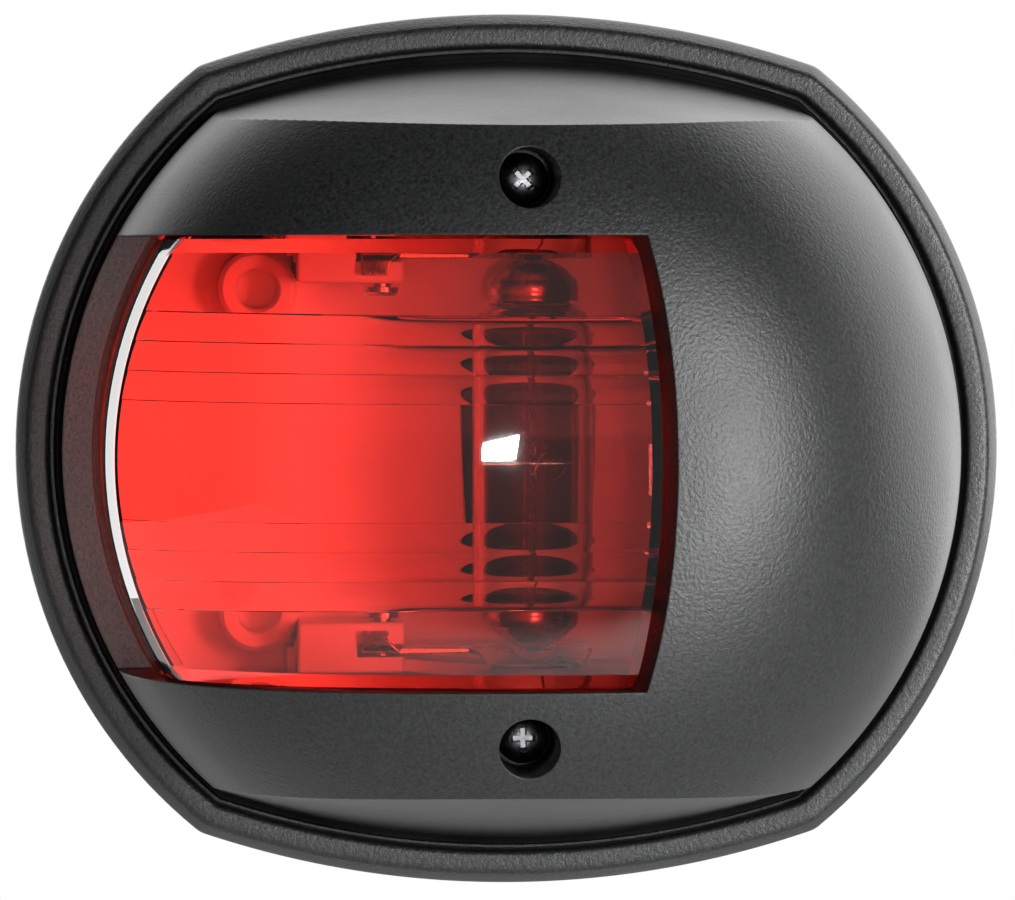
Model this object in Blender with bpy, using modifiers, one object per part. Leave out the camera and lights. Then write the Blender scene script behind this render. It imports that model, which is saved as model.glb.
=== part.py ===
"""Port side navigation light for a small boat: base, lamp carrier, festoon bulb, red lens and cover.

The model stands as the light hangs on a cabin side: +Z up, X along the wall, the front facing -Y, and
the origin at the middle of the back face. Shapes are drawn in the light's own frame (x along the wall,
y up, z out from the wall) and each object is then turned a quarter turn about X.
"""

import math

import bmesh
import bpy

# Outline of the base, seen from the front: a round cut by two flatter arcs
BASE_RADIUS = 0.0400
FLAT_RADIUS = 0.0770
FLAT_APEX = 0.03535
CORNER_RADIUS = 0.0026
LEAST_CORNER = 0.0008
ROUND_STEPS = 16
FLAT_STEPS = 8
CORNER_STEPS = 2

# Base plate
FLOOR_FRONT = 0.0040
RIM_FRONT = 0.0065
RIM_INNER = 0.0028
GROOVE_OUTER = 0.0021
GROOVE_INNER = 0.0063
GROOVE_DEPTH = 0.0014
FIT_GAP = 0.0003
POCKET_MIDDLES = (-0.0105, 0.0125)
POCKET_HEIGHT = 0.0140
POCKET_LENGTH = 0.0090
POCKET_WIDTH = 0.0070
POCKET_DEPTH = 0.0015
FIXING_WAY_RADIUS = 0.0021
KNOCK_OUT_SKIN = 0.0006

# Cover
COVER_INSET = 0.0039
COVER_WALL = 0.0024
COVER_FOOT = 0.0060
DOME_START = 0.0090
COVER_FRONT = 0.0415
COVER_POWER = 3.2
DRAFT = math.radians(11.0)
FLATS_STRAIGHT = 0.0450
DOME_STEPS = 44
DOME_RINGS = 8
LEDGE_FRONT = 0.0105

# Window: open to the left, cut off 22.5 degrees past square on the right
WINDOW_HALF_HEIGHT = 0.01735
WINDOW_RIGHT = 0.0112
WINDOW_ARC = 0.1100
CUT_OFF = math.radians(22.5)
WINDOW_STEPS = 10
REACH_PAST_COVER = 0.0450
LENS_DOME = 0.0370
LENS_DEPTH = 0.0316
LENS_EDGE = 0.0316
BEVEL_REACH = 0.0325
BEVEL_BACK = 0.0247
FLANGE_DEPTH = 0.0298
LENS_GAP = 0.0027
LENS_SIDE_GAP = 0.0008
LENS_WINDOW_LAP = 0.0010
FLANGE_LAP = 0.00055
PRISM_LINES = (0.00445, 0.00665, 0.00887, 0.01106)
PRISM_STEP = 0.0003
CORE_FOOT = 0.0040
CORE_DOME = 0.0350
CORE_DEPTH = 0.0283
CORE_EDGE = 0.0302

# Cover screws and the wells they sit in
WELL_HEIGHT = 0.0217
WELL_RADIUS = 0.00235
WELL_FLOOR = 0.0250
BOSS_RADIUS = 0.0034
BOSS_END = 0.0233
BOSS_TOP = 0.0348
POST_RADIUS = 0.0030
POST_FRONT = 0.0230
PILOT_RADIUS = 0.00165
PILOT_END = 0.0100
SCREW_HEAD_RADIUS = 0.0020
SCREW_HEAD_BACK = 0.0262
SCREW_HEAD_FRONT = 0.0282
SCREW_SHANK_RADIUS = 0.00135
SCREW_TIP = 0.0120
CROSS_WIDTH = 0.00055
CROSS_LENGTH = 0.0025
CROSS_DEPTH = 0.0011
CROSS_TURNS = {"upper": math.radians(43.0), "lower": math.radians(2.0)}

# Lamp carrier and what holds the whole light to the wall
CARRIER_INSET = 0.0089
CARRIER_BACK = 0.0043
CARRIER_FRONT = 0.0058
FIXING_X = 0.0200
FIXING_HEIGHT = 0.0128
FIXING_BOSS_RADIUS = 0.00305
FIXING_HOLE_RADIUS = 0.0016
FIXING_BOSS_FRONT = 0.0090
CABLE_HOLE_RADIUS = 0.0054
CARRIER_SCREW_X = 0.0160
CARRIER_SCREW_HEIGHT = 0.0200
ARCH_RADIUS = 0.1000
ARCH_TOP = 0.0170
ARCH_WALL = 0.0010
ARCH_FRONT = 0.0120
ARCH_LEFT = -0.0172
ARCH_RIGHT = 0.0180
ARCH_MIDDLE = 0.0030
ARCH_STEPS = 8

# Contact springs
BLOCK_LEFT = -0.0170
BLOCK_RIGHT = -0.0087
BLOCK_INNER = 0.0134
BLOCK_OUTER = 0.0174
BLOCK_FRONT = 0.0135
SLOT_LEFT = -0.0124
SLOT_HALF = 0.0005
CONTACT_HEIGHT = 0.0158
CONTACT_SHEET = 0.0004
SHEET_MIDDLE = CONTACT_HEIGHT - CONTACT_SHEET / 2
CONTACT_TAIL = -0.0120
CONTACT_END = 0.0062
CONTACT_BACK = 0.0090
CONTACT_FRONT = 0.0140
LIP_LEFT = -0.0030
LIP_TAPER = 0.0010
LIP_FRONT = 0.0171
LIP_RISE = 0.0011
TAB_RIGHT = -0.0096
TAB_TAPER = 0.0004
TAB_TILT = 0.0002
TAB_WIDTH = 0.0016
CONTACT_HOLE_RADIUS = 0.0017
HOLE_STRETCH = 0.0012
CONTACT_PIVOT_X = -0.0085
RIVET_X = -0.0104
RIVET_DEPTH = 0.0115
RIVET_RADIUS = 0.0007

# Festoon bulb, its axis upright
BULB_X = 0.0015
BULB_DEPTH = 0.0130
GLASS_RADIUS = 0.0048
GLASS_WALL = 0.0005
CAP_RADIUS = 0.0036
BULB_STEPS = 18

# Pieces whose many joined cuts leave slivers with the exact Boolean solver
DENSE_PIECES = ("base_plate", "lamp_carrier", "lens", "front_cover", "upper_cover_screw", "lower_cover_screw",
                "upper_carrier_screw", "lower_carrier_screw")

QUARTER_TURN = math.pi / 2
SIDES = (("upper", 1), ("lower", -1))


def clear_scene():
    for old in list(bpy.data.objects):
        bpy.data.objects.remove(old)


def new_collection(name):
    made = bpy.data.collections.new(name)
    bpy.context.scene.collection.children.link(made)
    return made


def material(name, colour, roughness, metallic=0.0, transmission=0.0):
    made = bpy.data.materials.new(name)
    made.use_nodes = True
    shader = made.node_tree.nodes["Principled BSDF"]
    shader.inputs["Base Color"].default_value = (*colour, 1.0)
    shader.inputs["Roughness"].default_value = roughness
    shader.inputs["Metallic"].default_value = metallic
    shader.inputs["Transmission Weight"].default_value = transmission
    return made


def link(obj, collection, is_cutter=False):
    collection.objects.link(obj)
    if is_cutter:
        obj.hide_render = True
        obj.display_type = "WIRE"
    return obj


def mesh_object(name, form, is_cutter=False):
    """Turn a bmesh drawn in the light's frame into an object standing on the wall."""
    mesh = bpy.data.meshes.new(name)
    bmesh.ops.recalc_face_normals(form, faces=form.faces)
    form.to_mesh(mesh)
    form.free()
    obj = bpy.data.objects.new(name, mesh)
    obj.rotation_euler = (QUARTER_TURN, 0.0, 0.0)
    return link(obj, cutters if is_cutter else parts, is_cutter)


def set_origin(obj, x, height, depth):
    """Move an object's origin to a point of the light, leaving its shape where it is."""
    for vertex in obj.data.vertices:
        vertex.co.x -= x
        vertex.co.y -= height
        vertex.co.z -= depth
    obj.location = (x, -depth, height)


def paint(obj, finish):
    obj.data.materials.clear()
    obj.data.materials.append(finish)


def smooth(obj, degrees=32.0):
    obj.data.shade_smooth()
    obj.data.set_sharp_from_angle(angle=math.radians(degrees))


def apply_modifiers(obj):
    """Replace an object's mesh by its evaluated one, so that later edits can use it."""
    graph = bpy.context.evaluated_depsgraph_get()
    made = bpy.data.meshes.new_from_object(obj.evaluated_get(graph))
    obj.modifiers.clear()
    obj.data = made


def combine(obj, other, operation):
    step = obj.modifiers.new(operation.lower() + "_" + other.name, "BOOLEAN")
    step.operation = operation
    step.solver = "MANIFOLD" if obj.name in DENSE_PIECES else "EXACT"
    step.object = other


def cut(obj, *others):
    for other in others:
        combine(obj, other, "DIFFERENCE")


def join(obj, *others):
    for other in others:
        combine(obj, other, "UNION")


def circle_points(x, y, radius, steps=24):
    turns = [2 * math.pi * step / steps for step in range(steps)]
    return [(x + radius * math.cos(turn), y + radius * math.sin(turn)) for turn in turns]


def outline_points(inset):
    """Points round the base's outline, moved in by inset, with rounded corners."""
    rounding = max(CORNER_RADIUS - 0.4 * inset, LEAST_CORNER)
    drop = FLAT_RADIUS - FLAT_APEX
    inner_round = BASE_RADIUS - inset - rounding
    inner_flat = FLAT_RADIUS - inset - rounding
    corner_y = (inner_flat ** 2 - inner_round ** 2 - drop ** 2) / (2 * drop)
    corner_x = math.sqrt(inner_round ** 2 - corner_y ** 2)
    round_end = math.atan2(corner_y, corner_x)
    flat_start = math.atan2(corner_y + drop, corner_x)
    quarter = []
    for step in range(ROUND_STEPS // 2 + 1):
        turn = round_end * step / (ROUND_STEPS // 2)
        reach = inner_round + rounding
        quarter.append((reach * math.cos(turn), reach * math.sin(turn)))
    for step in range(1, CORNER_STEPS):
        turn = round_end + (flat_start - round_end) * step / CORNER_STEPS
        quarter.append((corner_x + rounding * math.cos(turn), corner_y + rounding * math.sin(turn)))
    for step in range(FLAT_STEPS // 2 + 1):
        turn = flat_start + (math.pi / 2 - flat_start) * step / (FLAT_STEPS // 2)
        reach = inner_flat + rounding
        quarter.append((reach * math.cos(turn), reach * math.sin(turn) - drop))
    quarter[-1] = (0.0, quarter[-1][1])
    top = quarter + [(-x, y) for x, y in reversed(quarter[:-1])]
    return top + [(x, -y) for x, y in reversed(top[1:-1])]


def lofted(name, stations, is_ring=False):
    """Solid through the outline at each (inset, depth), capped, or closed on itself as a ring."""
    form = bmesh.new()
    rings = []
    for inset, depth in stations:
        rings.append([form.verts.new((x, y, depth)) for x, y in outline_points(inset)])
    pairs = list(zip(rings, rings[1:]))
    if is_ring:
        pairs.append((rings[-1], rings[0]))
    else:
        form.faces.new(rings[0])
        form.faces.new(rings[-1])
    for ring, following in pairs:
        for index in range(len(ring)):
            after = (index + 1) % len(ring)
            form.faces.new((ring[index], ring[after], following[after], following[index]))
    return mesh_object(name, form)


def flat_solid(name, loops, back, front, is_cutter=False):
    """Plate between two depths, its outline and holes given as loops of points."""
    curve = bpy.data.curves.new(name, "CURVE")
    curve.dimensions = "2D"
    curve.fill_mode = "BOTH"
    curve.extrude = (front - back) / 2
    for points in loops:
        spline = curve.splines.new("POLY")
        spline.points.add(len(points) - 1)
        spline.use_cyclic_u = True
        for point, (x, y) in zip(spline.points, points):
            point.co = (x, y, 0.0, 1.0)
    drawn = bpy.data.objects.new(name + "_outline", curve)
    bpy.context.scene.collection.objects.link(drawn)
    graph = bpy.context.evaluated_depsgraph_get()
    graph.update()
    mesh = bpy.data.meshes.new_from_object(drawn.evaluated_get(graph))
    bpy.data.objects.remove(drawn)
    form = bmesh.new()
    form.from_mesh(mesh)
    bmesh.ops.remove_doubles(form, verts=form.verts, dist=0.000002)
    bmesh.ops.translate(form, verts=form.verts, vec=(0.0, 0.0, (front + back) / 2))
    return mesh_object(name, form, is_cutter)


def turned(name, profile, x=0.0, height=0.0, steps=32, is_cutter=False, upright=False):
    """Shape turned about its own axis from (radius, depth) points, listed down its outer side."""
    mesh = bpy.data.meshes.new(name)
    is_loop = profile[0][0] > 0 and profile[-1][0] > 0
    edges = [(index, index + 1) for index in range(len(profile) - 1)]
    if is_loop:
        edges.append((len(profile) - 1, 0))
    mesh.from_pydata([(radius, 0.0, depth) for radius, depth in profile], edges, [])
    obj = bpy.data.objects.new(name, mesh)
    if not upright:
        obj.location = (x, 0.0, height)
        obj.rotation_euler = (QUARTER_TURN, 0.0, 0.0)
    screw = obj.modifiers.new("turning", "SCREW")
    screw.steps = steps
    screw.render_steps = steps
    screw.use_merge_vertices = True
    screw.merge_threshold = 0.000005
    screw.use_smooth_shade = False
    return link(obj, cutters if is_cutter else parts, is_cutter)


def rod(name, x, height, radius, back, front, steps=24, is_cutter=False):
    profile = [(0.0, front), (radius, front), (radius, back), (0.0, back)]
    return turned(name, profile, x, height, steps, is_cutter)


def block(name, low, high, is_cutter=False):
    """Box between two corners of the light's frame."""
    form = bmesh.new()
    bmesh.ops.create_cube(form, size=1.0)
    size = [top - bottom for bottom, top in zip(low, high)]
    middle = [(top + bottom) / 2 for bottom, top in zip(low, high)]
    bmesh.ops.scale(form, verts=form.verts, vec=size)
    bmesh.ops.translate(form, verts=form.verts, vec=middle)
    return mesh_object(name, form, is_cutter)


def dome_profile(radius, depth, power, foot):
    """Rounded dome standing on a straight skirt, from its crown down to its foot."""
    profile = []
    for step in range(DOME_RINGS + 1):
        turn = QUARTER_TURN * step / DOME_RINGS
        reach = radius * math.sin(turn) ** (2 / power)
        rise = depth * math.sqrt(max(1 - math.sin(turn) ** 2, 0.0))
        profile.append((reach, DOME_START + rise))
    profile[0] = (0.0, profile[0][1])
    profile[-1] = (radius, DOME_START)
    return profile + [(radius, foot), (0.0, foot)]


def flats_block(name, inset, back, front):
    """Tall block between the cover's drafted flats, which are curved at the foot and straight in front."""
    form = bmesh.new()
    radius = FLAT_RADIUS - inset
    rings = []
    for depth in (back, front):
        apex = FLAT_APEX - inset - (depth - COVER_FOOT) * math.tan(DRAFT)
        straightness = (depth - COVER_FOOT) / (FLATS_STRAIGHT - COVER_FOOT)
        top = []
        for step in range(FLAT_STEPS * 2 + 1):
            x = REACH_PAST_COVER * (1 - step / FLAT_STEPS)
            sag = radius - math.sqrt(radius ** 2 - x ** 2)
            top.append((x, apex - sag * (1 - straightness)))
        points = top + [(-x, -y) for x, y in top]
        rings.append([form.verts.new((x, y, depth)) for x, y in points])
    form.faces.new(rings[0])
    form.faces.new(rings[1])
    for index in range(len(rings[0])):
        after = (index + 1) % len(rings[0])
        form.faces.new((rings[0][index], rings[0][after], rings[1][after], rings[1][index]))
    return mesh_object(name, form, True)


def window_block(name, half_height, right, back, front):
    """Cutter as wide as the window, its right face leaning out along the cut-off line."""
    form = bmesh.new()
    right_edge = []
    for step in range(WINDOW_STEPS + 1):
        y = half_height * (2 * step / WINDOW_STEPS - 1)
        right_edge.append((right - WINDOW_ARC + math.sqrt(WINDOW_ARC ** 2 - y ** 2), y))
    points = right_edge + [(-REACH_PAST_COVER, half_height), (-REACH_PAST_COVER, -half_height)]
    rings = []
    for depth in (back, front):
        lean = (depth - COVER_FRONT) * math.tan(CUT_OFF)
        ring = []
        for x, y in points:
            shift = lean if x > 0 else 0.0
            ring.append(form.verts.new((x + shift, y, depth)))
        rings.append(ring)
    form.faces.new(rings[0])
    form.faces.new(rings[1])
    for index in range(len(points)):
        after = (index + 1) % len(points)
        form.faces.new((rings[0][index], rings[0][after], rings[1][after], rings[1][index]))
    return mesh_object(name, form, True)


def make_wall_gasket():
    back = 0.0
    front = GROOVE_DEPTH - FIT_GAP
    outer = GROOVE_OUTER + FIT_GAP
    inner = GROOVE_INNER - FIT_GAP
    ring = lofted("wall_gasket", [(outer, back), (outer, front), (inner, front), (inner, back)], True)
    paint(ring, soft_rubber)


def make_base_plate():
    stations = [
        (GROOVE_INNER, 0.0), (GROOVE_INNER, GROOVE_DEPTH), (GROOVE_OUTER, GROOVE_DEPTH),
        (GROOVE_OUTER, 0.0), (0.0003, 0.0), (0.0, 0.0003), (0.0, 0.0043), (0.0003, 0.0056),
        (0.0007, 0.0062), (0.0012, RIM_FRONT), (0.0023, RIM_FRONT), (RIM_INNER, 0.0061),
        (RIM_INNER, FLOOR_FRONT),
    ]
    base = lofted("base_plate", stations)
    for side, sign in SIDES:
        post = rod(side + "_post", 0.0, sign * WELL_HEIGHT, POST_RADIUS, 0.0030, POST_FRONT, 18, True)
        pilot = rod(side + "_pilot", 0.0, sign * WELL_HEIGHT, PILOT_RADIUS, PILOT_END, 0.030, 12, True)
        join(base, post)
        cut(base, pilot)
    cable_way = turned(
        "cable_way",
        [(0.0, 0.01), (CABLE_HOLE_RADIUS, 0.01), (CABLE_HOLE_RADIUS, 0.0016), (0.0070, 0.0016),
         (0.0070, -0.002), (0.0, -0.002)],
        BULB_X, 0.0, 20, True)
    cut(base, cable_way)
    for x in (-FIXING_X, FIXING_X):
        for side, sign in SIDES:
            name = side + ("_left" if x < 0 else "_right") + "_fixing_hole"
            way = rod(name, x, sign * FIXING_HEIGHT, FIXING_WAY_RADIUS, KNOCK_OUT_SKIN, 0.008, 12, True)
            cut(base, way)
    for side, sign in SIDES:
        pilot = rod(side + "_carrier_pilot", CARRIER_SCREW_X, sign * CARRIER_SCREW_HEIGHT,
                    0.0012, 0.0010, 0.008, 10, True)
        cut(base, pilot)
    for x in POCKET_MIDDLES:
        for side, sign in SIDES:
            name = side + ("_left" if x < 0 else "_right") + "_back_pocket"
            low = (x - POCKET_LENGTH / 2, sign * POCKET_HEIGHT - POCKET_WIDTH / 2, -0.001)
            high = (x + POCKET_LENGTH / 2, sign * POCKET_HEIGHT + POCKET_WIDTH / 2, POCKET_DEPTH)
            cut(base, block(name, low, high, True))
    paint(base, black_plastic)


def make_cable_grommet():
    """Grommet with a thin closed skin, which the cable is pushed through when the light is fitted."""
    profile = [
        (0.0, 0.0042), (0.0016, 0.0044), (0.0022, 0.0056), (0.0044, 0.0062), (0.0051, 0.0060),
        (0.0051, 0.0013), (0.0066, 0.0013), (0.0066, 0.0003), (0.0030, 0.0003), (0.0016, 0.0034),
        (0.0, 0.0034),
    ]
    grommet = turned("cable_grommet", profile, BULB_X, 0.0, 20)
    paint(grommet, soft_rubber)


def make_cover_seal():
    stations = [
        (0.0031, 0.0043), (0.0031, 0.0050), (0.00335, 0.0055), (0.0037, 0.0050), (0.0060, 0.0057),
        (0.0060, 0.0043),
    ]
    seal = lofted("cover_seal", stations, True)
    paint(seal, glossy_rubber)


def arch_points(radius):
    centre_y = ARCH_TOP - ARCH_RADIUS
    points = []
    for step in range(ARCH_STEPS + 1):
        x = ARCH_LEFT + (ARCH_RIGHT - ARCH_LEFT) * step / ARCH_STEPS
        points.append((x, centre_y + math.sqrt(radius ** 2 - (x - ARCH_MIDDLE) ** 2)))
    return points


def make_lamp_carrier():
    holes = [circle_points(BULB_X, 0.0, CABLE_HOLE_RADIUS, 20)]
    for side, sign in SIDES:
        holes.append(circle_points(0.0, sign * WELL_HEIGHT, POST_RADIUS + 0.0004, 16))
        holes.append(circle_points(CARRIER_SCREW_X, sign * CARRIER_SCREW_HEIGHT, 0.0014, 10))
        for x in (-FIXING_X, FIXING_X):
            holes.append(circle_points(x, sign * FIXING_HEIGHT, FIXING_BOSS_RADIUS - 0.0005, 12))
    carrier = flat_solid("lamp_carrier", [outline_points(CARRIER_INSET)] + holes, CARRIER_BACK, CARRIER_FRONT)
    root = CARRIER_FRONT - 0.0006
    for side, sign in SIDES:
        for x, hand in ((-FIXING_X, "left"), (FIXING_X, "right")):
            sleeve = turned(
                side + "_" + hand + "_boss",
                [(FIXING_HOLE_RADIUS, FIXING_BOSS_FRONT), (FIXING_BOSS_RADIUS, FIXING_BOSS_FRONT),
                 (FIXING_BOSS_RADIUS, CARRIER_BACK), (FIXING_HOLE_RADIUS, CARRIER_BACK)],
                x, sign * FIXING_HEIGHT, 14, True)
            join(carrier, sleeve)
        heights = sorted((sign * BLOCK_INNER, sign * BLOCK_OUTER))
        holder = block(side + "_block", (BLOCK_LEFT, heights[0], root),
                       (BLOCK_RIGHT, heights[1], BLOCK_FRONT), True)
        inner = arch_points(ARCH_RADIUS)
        outer = arch_points(ARCH_RADIUS + ARCH_WALL)
        wall_points = [(x, sign * y) for x, y in inner + outer[::-1]]
        arch = flat_solid(side + "_arch", [wall_points], root + 0.0001, ARCH_FRONT, True)
        slot_low, slot_high = sorted((sign * (SHEET_MIDDLE - SLOT_HALF), sign * (SHEET_MIDDLE + SLOT_HALF)))
        slot = block(side + "_slot", (SLOT_LEFT, slot_low, CONTACT_BACK - FIT_GAP),
                     (BLOCK_RIGHT + 0.001, slot_high, 0.02), True)
        join(carrier, holder, arch)
        cut(carrier, slot, rivet_way(side + "_block_rivet_way", sign))
    paint(carrier, white_plastic)


def make_carrier_screws():
    for side, sign in SIDES:
        profile = [
            (0.0, 0.0076), (0.0013, 0.0074), (0.0019, 0.0068), (0.0019, 0.0061), (0.0009, 0.0061),
            (0.0009, 0.0016), (0.0, 0.0013),
        ]
        screw = turned(side + "_carrier_screw", profile, CARRIER_SCREW_X, sign * CARRIER_SCREW_HEIGHT, 12)
        arms = cross_cutter(side + "_carrier_cross", CARRIER_SCREW_X, sign * CARRIER_SCREW_HEIGHT,
                            0.0076, 0.0004, 0.0020, 0.0008, 0.0)
        cut(screw, arms)
        paint(screw, bright_steel)


def cross_cutter(name, x, height, front, width, length, depth, turn):
    """Cross-shaped cutter for a screw's recess."""
    form = bmesh.new()
    for extra in (0.0, QUARTER_TURN):
        bar = bmesh.ops.create_cube(form, size=1.0)["verts"]
        bmesh.ops.scale(form, verts=bar, vec=(length, width, 2 * depth))
        spin = (math.cos(turn + extra), math.sin(turn + extra))
        for vertex in bar:
            px, py = vertex.co.x, vertex.co.y
            vertex.co.x = x + px * spin[0] - py * spin[1]
            vertex.co.y = height + px * spin[1] + py * spin[0]
            vertex.co.z += front
    return mesh_object(name, form, True)


def rivet_way(name, sign):
    """Cutter for the rivet's hole through the block and the spring's tail, with a gap all round."""
    radius = RIVET_RADIUS + FIT_GAP
    low, high = sorted((sign * (BLOCK_INNER - 0.001), sign * (BLOCK_OUTER + 0.001)))
    way = turned(name, [(0.0, high), (radius, high), (radius, low), (0.0, low)], steps=10,
                 is_cutter=True, upright=True)
    way.location = (RIVET_X, -RIVET_DEPTH, 0.0)
    return way


def make_contact_rivets():
    for side, sign in SIDES:
        head_back = BLOCK_INNER - FIT_GAP
        profile = [
            (0.0, BLOCK_OUTER), (RIVET_RADIUS, BLOCK_OUTER), (RIVET_RADIUS, head_back),
            (0.0013, head_back), (0.0013, head_back - 0.0004), (0.0008, head_back - 0.0007),
            (0.0, head_back - 0.0007),
        ]
        rivet = turned(side + "_contact_rivet", profile, steps=12, upright=True)
        rivet.location = (RIVET_X, -RIVET_DEPTH, 0.0)
        if sign < 0:
            rivet.rotation_euler = (math.pi, 0.0, 0.0)
        paint(rivet, bright_steel)


def make_contact(side, sign):
    """Bent sheet spring: a tail in the carrier's block, a flat spring, a holed and flared lip."""
    form = bmesh.new()
    flat = sign * SHEET_MIDDLE
    lip = sign * (SHEET_MIDDLE + LIP_RISE)
    tab = sign * (SHEET_MIDDLE - TAB_WIDTH)
    stations = (CONTACT_TAIL, TAB_RIGHT, LIP_LEFT, CONTACT_END)
    back = [form.verts.new((x, flat, CONTACT_BACK)) for x in stations]
    front = [form.verts.new((x, flat, CONTACT_FRONT)) for x in stations]
    raised = [form.verts.new((x, lip, LIP_FRONT)) for x in (LIP_LEFT + LIP_TAPER, CONTACT_END - LIP_TAPER)]
    folded = [form.verts.new((x, tab, CONTACT_FRONT + TAB_TILT))
              for x in (CONTACT_TAIL, TAB_RIGHT - TAB_TAPER)]
    for index in range(3):
        form.faces.new((back[index], back[index + 1], front[index + 1], front[index]))
    form.faces.new((front[2], front[3], raised[1], raised[0]))
    form.faces.new((front[0], front[1], folded[1], folded[0]))
    spring = mesh_object(side + "_contact", form)
    sheet = spring.modifiers.new("sheet", "SOLIDIFY")
    sheet.thickness = CONTACT_SHEET
    sheet.offset = 0.0
    sheet.use_even_offset = True
    hole = bmesh.new()
    bmesh.ops.create_cone(hole, cap_ends=True, segments=20, radius1=CONTACT_HOLE_RADIUS,
                          radius2=CONTACT_HOLE_RADIUS, depth=0.012)
    for vertex in hole.verts:
        vertex.co.x, vertex.co.y, vertex.co.z = vertex.co.x, vertex.co.z, vertex.co.y
        vertex.co.z += HOLE_STRETCH if vertex.co.z > 0.00001 else 0.0
        vertex.co.x += BULB_X
        vertex.co.y += sign * CONTACT_HEIGHT
        vertex.co.z += BULB_DEPTH
    cut(spring, mesh_object(side + "_contact_hole", hole, True))
    cut(spring, rivet_way(side + "_tail_rivet_way", sign))
    apply_modifiers(spring)
    set_origin(spring, CONTACT_PIVOT_X, sign * CONTACT_HEIGHT, BULB_DEPTH)
    paint(spring, spring_brass)


def make_bulb():
    inner = GLASS_RADIUS - GLASS_WALL
    half = [
        (0.0029, 0.0132), (0.0029, 0.0119), (0.0038, 0.0113), (0.0045, 0.0105), (GLASS_RADIUS, 0.0093),
    ]
    inner_half = [(inner, 0.0093), (0.0040, 0.0102), (0.0033, 0.0110), (0.0024, 0.0117), (0.0024, 0.0132)]
    outer_side = half + [(radius, -height) for radius, height in reversed(half)]
    inner_side = [(radius, -height) for radius, height in reversed(inner_half)] + inner_half
    glass = turned("bulb_glass", outer_side + inner_side, steps=BULB_STEPS, upright=True)
    glass.location = (BULB_X, -BULB_DEPTH, 0.0)
    paint(glass, clear_glass)
    for side, sign in SIDES:
        profile = [
            (0.0, 0.0159), (0.0007, 0.0159), (0.0011, 0.0155), (0.0019, 0.0150), (0.0034, 0.0138),
            (CAP_RADIUS, 0.0134), (CAP_RADIUS, 0.0121), (0.0032, 0.0121), (0.0032, 0.0135), (0.0, 0.0135),
        ]
        cap = turned("bulb_" + side + "_cap", profile, steps=BULB_STEPS, upright=True)
        cap.location = (BULB_X, -BULB_DEPTH, 0.0)
        if sign < 0:
            cap.rotation_euler = (math.pi, 0.0, 0.0)
        paint(cap, cap_metal)


def make_filament():
    curve = bpy.data.curves.new("bulb_filament", "CURVE")
    curve.dimensions = "3D"
    curve.bevel_depth = 0.00016
    curve.bevel_resolution = 2
    curve.use_fill_caps = True
    points = [(0.0009, -0.0130), (0.0009, -0.0088)]
    for step in range(9):
        points.append((0.0006 if step % 2 else -0.0006, -0.0060 + 0.0015 * step))
    points += [(0.0009, 0.0088), (0.0009, 0.0130)]
    spline = curve.splines.new("POLY")
    spline.points.add(len(points) - 1)
    for point, (x, height) in zip(spline.points, points):
        point.co = (x, 0.0, height, 1.0)
    drawn = bpy.data.objects.new("filament_path", curve)
    bpy.context.scene.collection.objects.link(drawn)
    graph = bpy.context.evaluated_depsgraph_get()
    graph.update()
    mesh = bpy.data.meshes.new_from_object(drawn.evaluated_get(graph))
    bpy.data.objects.remove(drawn)
    form = bmesh.new()
    form.from_mesh(mesh)
    bmesh.ops.remove_doubles(form, verts=form.verts, dist=0.000002)
    bmesh.ops.recalc_face_normals(form, faces=form.faces)
    form.to_mesh(mesh)
    form.free()
    filament = bpy.data.objects.new("bulb_filament", mesh)
    filament.location = (BULB_X, -BULB_DEPTH, 0.0)
    link(filament, parts)
    paint(filament, tungsten)


def cut_dome_profile(dome, depth, edge, below):
    """Dome as far out as its edge, then down its side through the (radius, depth) points below."""
    profile = []
    for step in range(DOME_RINGS + 1):
        reach = edge * step / DOME_RINGS
        profile.append((reach, DOME_START + depth * math.sqrt(1 - (reach / dome) ** COVER_POWER)))
    return profile + below + [(0.0, below[-1][1])]


def make_lens():
    outer_radius = BASE_RADIUS - COVER_INSET - LENS_GAP
    foot = COVER_FOOT + 0.0010
    face = cut_dome_profile(LENS_DOME, LENS_DEPTH, LENS_EDGE,
                            [(BEVEL_REACH, BEVEL_BACK), (outer_radius, foot)])
    raised = turned("lens", face, steps=DOME_STEPS)
    combine(raised, window_block("lens_face", WINDOW_HALF_HEIGHT - FIT_GAP, WINDOW_RIGHT - LENS_SIDE_GAP,
                                 0.004, 0.05), "INTERSECT")
    flange = turned("lens_flange", dome_profile(outer_radius, FLANGE_DEPTH, COVER_POWER, foot),
                    steps=DOME_STEPS, is_cutter=True)
    combine(flange, window_block("lens_lap", WINDOW_HALF_HEIGHT + FLANGE_LAP, WINDOW_RIGHT + LENS_WINDOW_LAP,
                                 0.004, 0.05), "INTERSECT")
    join(raised, flange)
    for count, line in enumerate((0.0,) + PRISM_LINES):
        step_in = PRISM_STEP * count
        below = [(CORE_EDGE + 0.0003 - step_in, DOME_START),
                 (CORE_EDGE + 0.0006 - step_in, CORE_FOOT - 0.001)]
        core = turned("lens_core_" + str(count),
                      cut_dome_profile(CORE_DOME, CORE_DEPTH + step_in, CORE_EDGE - step_in, below),
                      steps=DOME_STEPS, is_cutter=True)
        if line:
            cut(core, block("lens_core_middle_" + str(count), (-0.05, -line, CORE_FOOT - 0.003),
                            (0.05, line, 0.06), True))
        cut(raised, core)
    paint(raised, red_lens)


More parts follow.
